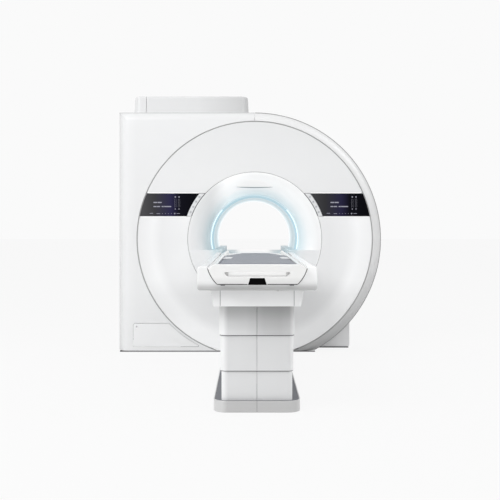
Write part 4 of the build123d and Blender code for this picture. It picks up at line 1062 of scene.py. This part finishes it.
class SCANNER_OT_mattress(bpy.types.Operator):
    """Sews, fills and lays the mattress on the cradle"""

    bl_idname = "scanner.mattress"
    bl_label = "Mattress"

    def execute(self, context):
        settings = context.scene.scanner_table
        vinyl = self.make_vinyl(tuple(settings.vinyl_color))
        pad = self.fill_pad(context, settings, vinyl)
        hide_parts("mattress")
        self.add_piping(context, settings.piping_radius, vinyl)
        self.add_strap_plates()
        return {"FINISHED"}

    def make_vinyl(self, color):
        """Coated fabric with a fine leather grain and a slight drift of tone."""
        drift_scale = 7
        spread = 0.05
        grain = 480
        grain_depth = 0.0004
        material, nodes, links, shader = new_material("mattress_vinyl")
        shader.inputs["Roughness"].default_value = 0.42
        shader.inputs["Sheen Weight"].default_value = 0.15
        drift = noise_on_object(nodes, links, drift_scale)
        vary_color(nodes, links, shader, drift.outputs["Fac"], color, spread)
        cells = nodes.new("ShaderNodeTexVoronoi")
        cells.inputs["Scale"].default_value = grain
        place = nodes.new("ShaderNodeTexCoord")
        links.new(place.outputs["Object"], cells.inputs["Vector"])
        raise_relief(nodes, links, shader, cells.outputs["Distance"], grain_depth)
        return material

    def outline(self):
        """Corners of the pad seen from above: its far end is narrowed by two slanted cuts."""
        slant = 0.47
        end_half = pad_high.x - 0.108
        half = pad_high.x - pad_inset
        front = pad_low.y + pad_inset
        back = pad_high.y - pad_inset
        return (
            (-half, front), (half, front), (half, back - slant),
            (end_half, back), (-end_half, back), (-half, back - slant),
        )

    def fill_pad(self, context, settings, vinyl):
        """Pad with rounded corners, remeshed, filled by a short cloth simulation and smoothed."""
        rim_radius = 0.009
        near_top = 0.9
        height = pad_high.z - pad_low.z - settings.crown
        bm = bmesh.new()
        add_slab(bm, self.outline(), pad_low.z, height)
        round_uprights(bm, height, pad_corner)
        rim_low = pad_low.z + height * near_top
        rim = [edge for edge in bm.edges if min(vert.co.z for vert in edge.verts) > rim_low]
        round_edges(bm, rim, rim_radius, segments=4)
        pad = finish_piece("mattress_pad", bm, "cradle", vinyl, math.pi)
        remesh = pad.modifiers.new("even_mesh", "REMESH")
        remesh.mode = "VOXEL"
        remesh.voxel_size = settings.voxel
        self.apply_modifiers(context, pad)
        self.inflate(context, pad, settings.crown)
        rounding = pad.modifiers.new("rounding", "SUBSURF")
        rounding.levels = 1
        rounding.render_levels = 1
        self.apply_modifiers(context, pad)
        pad.data.shade_smooth()
        return pad

    def apply_modifiers(self, context, piece):
        """Keeps the evaluated mesh and drops the modifiers."""
        graph = context.evaluated_depsgraph_get()
        mesh = bpy.data.meshes.new_from_object(piece.evaluated_get(graph))
        piece.modifiers.clear()
        old = piece.data
        piece.data = mesh
        bpy.data.meshes.remove(old)

    def inflate(self, context, pad, cap):
        """Short cloth simulation under pressure, with each point's lift capped."""
        seat_height = 0.004
        pressure = 4
        last_frame = 20
        rest = [vert.co.copy() for vert in pad.data.vertices]
        floor_z = min(point.z for point in rest)
        pinned = [index for index, point in enumerate(rest) if point.z < floor_z + seat_height]
        group = pad.vertex_groups.new(name="seated")
        group.add(pinned, 1.0, "REPLACE")
        cloth = pad.modifiers.new("filling", "CLOTH")
        cloth.settings.use_pressure = True
        cloth.settings.uniform_pressure_force = pressure
        cloth.settings.vertex_group_mass = "seated"
        cloth.settings.effector_weights.gravity = 0
        cloth.point_cache.frame_start = 1
        cloth.point_cache.frame_end = last_frame
        for frame_number in range(1, last_frame + 1):
            context.scene.frame_set(frame_number)
        graph = context.evaluated_depsgraph_get()
        filled = [vert.co.copy() for vert in pad.evaluated_get(graph).data.vertices]
        pad.modifiers.clear()
        pad.vertex_groups.clear()
        for vert, start, end in zip(pad.data.vertices, rest, filled):
            lift = max(-cap, min(cap, end.z - start.z))
            vert.co = start + Vector((0, 0, lift))
        context.scene.frame_set(1)

    def add_piping(self, context, thickness, vinyl):
        """Piped seam round the upper edge of the pad."""
        drop = 0.012
        corner_steps = 8
        line = bpy.data.curves.new("mattress_piping", "CURVE")
        line.dimensions = "3D"
        line.bevel_depth = thickness
        line.bevel_resolution = 3
        corners = [Vector((x, y, pad_high.z - drop)) for x, y in self.outline()]
        spline = line.splines.new("POLY")
        points = []
        for index, corner in enumerate(corners):
            before = (corners[index - 1] - corner).normalized()
            after = (corners[(index + 1) % len(corners)] - corner).normalized()
            for step in range(corner_steps + 1):
                share = step / corner_steps
                first = corner + before * pad_corner * (1 - share)
                second = corner + after * pad_corner * share
                points.append(first.lerp(second, share))
        spline.points.add(len(points) - 1)
        for point, place in zip(spline.points, points):
            point.co = (*place, 1)
        spline.use_cyclic_u = True
        holder = bpy.data.objects.new("piping_line", line)
        context.scene.collection.objects.link(holder)
        graph = context.evaluated_depsgraph_get()
        mesh = bpy.data.meshes.new_from_object(holder.evaluated_get(graph))
        bpy.data.objects.remove(holder)
        mesh.materials.clear()
        mesh.materials.append(vinyl)
        mesh.shade_smooth()
        piping = bpy.data.objects.new("mattress_piping", mesh)
        context.scene.collection.objects.link(piping)
        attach(piping, "cradle")

    def add_strap_plates(self):
        """Two white slanted plates for straps, near the sides of the pad."""
        middle_x = 0.188
        middle_y = -2.62
        sunk = 0.002
        thickness = 0.0045
        edge_radius = 0.0012
        corners = ((-0.03, -0.09), (0.022, -0.09), (0.03, 0.09), (-0.018, 0.09))
        white = coated("strap_plate_white", (0.82, 0.83, 0.84), 0.4, 0.00005)
        for name, side in (("left_strap_plate", -1), ("right_strap_plate", 1)):
            bm = bmesh.new()
            outline = [(side * middle_x - side * x, middle_y + y) for x, y in corners]
            add_slab(bm, outline, pad_high.z - sunk, thickness)
            round_edges(bm, list(bm.edges), edge_radius, segments=3)
            finish_piece(name, bm, "cradle", white)


class SCANNER_OT_column(bpy.types.Operator):
    """Finishes the column covers, the lift ram and the base"""

    bl_idname = "scanner.column"
    bl_label = "Column and base"

    def execute(self, context):
        self.coat_covers()
        seam_shade = coated("seam_shade_dark", (0.09, 0.09, 0.095), 0.6, 0.0001)
        self.add_seam_shade("upper_cover_seam_shade", "column_upper_cover", "table", seam_shade)
        self.add_seam_shade("middle_cover_seam_shade", "column_middle_cover", "column_stage", seam_shade)
        dress(coated("ram_ground_steel", (0.6, 0.6, 0.62), 0.15, metallic=1),
              "lift_ram_stage", "lift_ram_rod")
        dress(coated("barrel_steel", (0.4, 0.4, 0.42), 0.35, metallic=1), "lift_ram_barrel")
        dress(coated("base_slate", (0.175, 0.181, 0.198), 0.65, 0.0002, grain=700, spread=0.06), "base_plate")
        rim = coated("rim_brushed_silver_painted_highlight", (0.54, 0.54, 0.54), 0.32, 0.00012, grain=300, metallic=0.7,
                     stretch=(0.05, 0.05, 1))
        low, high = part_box("base_rim")
        # painted highlights glow at the rim's left and right ends
        glow_along(rim, "X", low.x, high.x, ((0, 0.14), (0.1, 0.14), (0.16, 0), (0.94, 0), (1, 0.06)))
        dress(rim, "base_rim")
        return {"FINISHED"}

    def coat_covers(self):
        """Column covers with painted highlights at their corners, the upper one darker under the table and to
        its right by painted shadow.
        """
        satin = (0.72, 0.725, 0.73)
        shadow_start = 0.2
        shadow_end = 0.03
        low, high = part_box("column_upper_cover")
        upper = coated("column_shaded_white", satin, 0.4, 0.00008, grain=500)
        shade_along(upper, "Z", high.z - shadow_start, high.z - shadow_end, (
            (0, 1), (0.35, 0.86), (0.7, 0.6), (1, 0.46),
        ))
        shade_along(upper, "X", low.x, high.x, ((0, 1), (0.35, 1), (0.6, 0.82), (0.8, 0.77), (1, 0.86)))
        lower = coated("column_white_painted_highlight", satin, 0.4, 0.00008, grain=500)
        for material in (upper, lower):
            glow_along(material, "X", low.x, high.x, (
                (0, 0.17), (0.06, 0.16), (0.12, 0), (0.93, 0), (0.97, 0.12), (1, 0.12),
            ))
        dress(upper, "column_upper_cover")
        dress(lower, "column_middle_cover", "column_lower_cover")

    def add_seam_shade(self, name, cover, body, material):
        """Dark band round the lower edge of a column cover, painted shade in the seam below it."""
        corner = 0.038
        inset = 0.0016
        wall = 0.0042
        height = 0.0045
        low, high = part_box(cover)
        bm = bmesh.new()
        add_plate(bm, (low.x + inset, low.y + inset, low.z - height), (high.x - inset, high.y - inset, low.z))
        round_uprights(bm, height, corner)
        bm.normal_update()
        level_faces = [face for face in bm.faces if abs(face.normal.z) > 0.5]
        bmesh.ops.delete(bm, geom=level_faces, context="FACES_ONLY")
        bmesh.ops.recalc_face_normals(bm, faces=bm.faces)
        bmesh.ops.solidify(bm, geom=bm.faces, thickness=wall)
        finish_piece(name, bm, body, material)


class SCANNER_OT_inner_parts(bpy.types.Operator):
    """Finishes what the covers hide: the magnet, the coils, the frames and the fittings"""

    bl_idname = "scanner.inner_parts"
    bl_label = "Inner parts"

    def execute(self, context):
        dress(coated("vessel_paint", (0.6, 0.61, 0.62), 0.4, 0.0001), "vacuum_vessel")
        dress(coated("vessel_steel", (0.55, 0.55, 0.56), 0.3, 0.0001, metallic=1, stretch=(1, 0.1, 1)),
              "helium_vessel", "service_neck", "cold_head")
        dress(coated("shield_aluminium", (0.7, 0.71, 0.72), 0.35, metallic=1),
              "radiation_shield", "coil_former")
        dress(coated("frame_aluminium", (0.6, 0.6, 0.61), 0.4, metallic=1),
              "front_cover_frame", "rear_cover_frame")
        dress(coated("coil_winding", (0.55, 0.27, 0.13), 0.35, 0.0008, grain=120, metallic=0.8,
                     stretch=(0.05, 1, 0.05)), "superconducting_coils")
        dress(coated("coil_resin", (0.28, 0.2, 0.1), 0.5, 0.0002), "gradient_coil")
        dress(coated("copper_foil", (0.6, 0.3, 0.15), 0.3, metallic=1), "rf_body_coil")
        dress(coated("rod_laminate", (0.32, 0.36, 0.16), 0.5), "suspension_rods")
        dress(coated("foot_paint", (0.1, 0.105, 0.11), 0.5, 0.0002), "magnet_feet")
        dress(coated("pin_steel", (0.55, 0.55, 0.56), 0.25, metallic=1), "door_hinge_pins")
        dress(coated("lock_chrome", (0.7, 0.7, 0.71), 0.1, metallic=1), "door_lock")
        return {"FINISHED"}


class SCANNER_PT_panel(bpy.types.Panel):
    """Sidebar panel with one button for each step"""

    bl_idname = "SCANNER_PT_panel"
    bl_label = "Scanner"
    bl_space_type = "VIEW_3D"
    bl_region_type = "UI"
    bl_category = "Scanner"

    def draw(self, context):
        for operator in operators:
            self.layout.operator(operator.bl_idname)


settings_groups = (
    ("scanner_stage", ScannerStageSettings),
    ("scanner_covers", ScannerCoverSettings),
    ("scanner_displays", ScannerDisplaySettings),
    ("scanner_bore", ScannerBoreSettings),
    ("scanner_table", ScannerTableSettings),
)

operators = (
    SCANNER_OT_stage,
    SCANNER_OT_covers,
    SCANNER_OT_displays,
    SCANNER_OT_controls,
    SCANNER_OT_bore,
    SCANNER_OT_table,
    SCANNER_OT_mattress,
    SCANNER_OT_column,
    SCANNER_OT_inner_parts,
)


def register():
    """Registers the settings, the operators and the panel."""
    for name, group in settings_groups:
        bpy.utils.register_class(group)
        setattr(bpy.types.Scene, name, PointerProperty(type=group))
    for operator in operators:
        bpy.utils.register_class(operator)
    bpy.utils.register_class(SCANNER_PT_panel)


def unregister():
    """Takes back what register has done."""
    bpy.utils.unregister_class(SCANNER_PT_panel)
    for operator in reversed(operators):
        bpy.utils.unregister_class(operator)
    for name, group in reversed(settings_groups):
        delattr(bpy.types.Scene, name)
        bpy.utils.unregister_class(group)


def main():
    """Builds every piece."""
    register()
    for operator in operators:
        space, name = operator.bl_idname.split(".")
        getattr(getattr(bpy.ops, space), name)()
    bpy.context.view_layer.update()


if __name__ == "__main__":
    main()
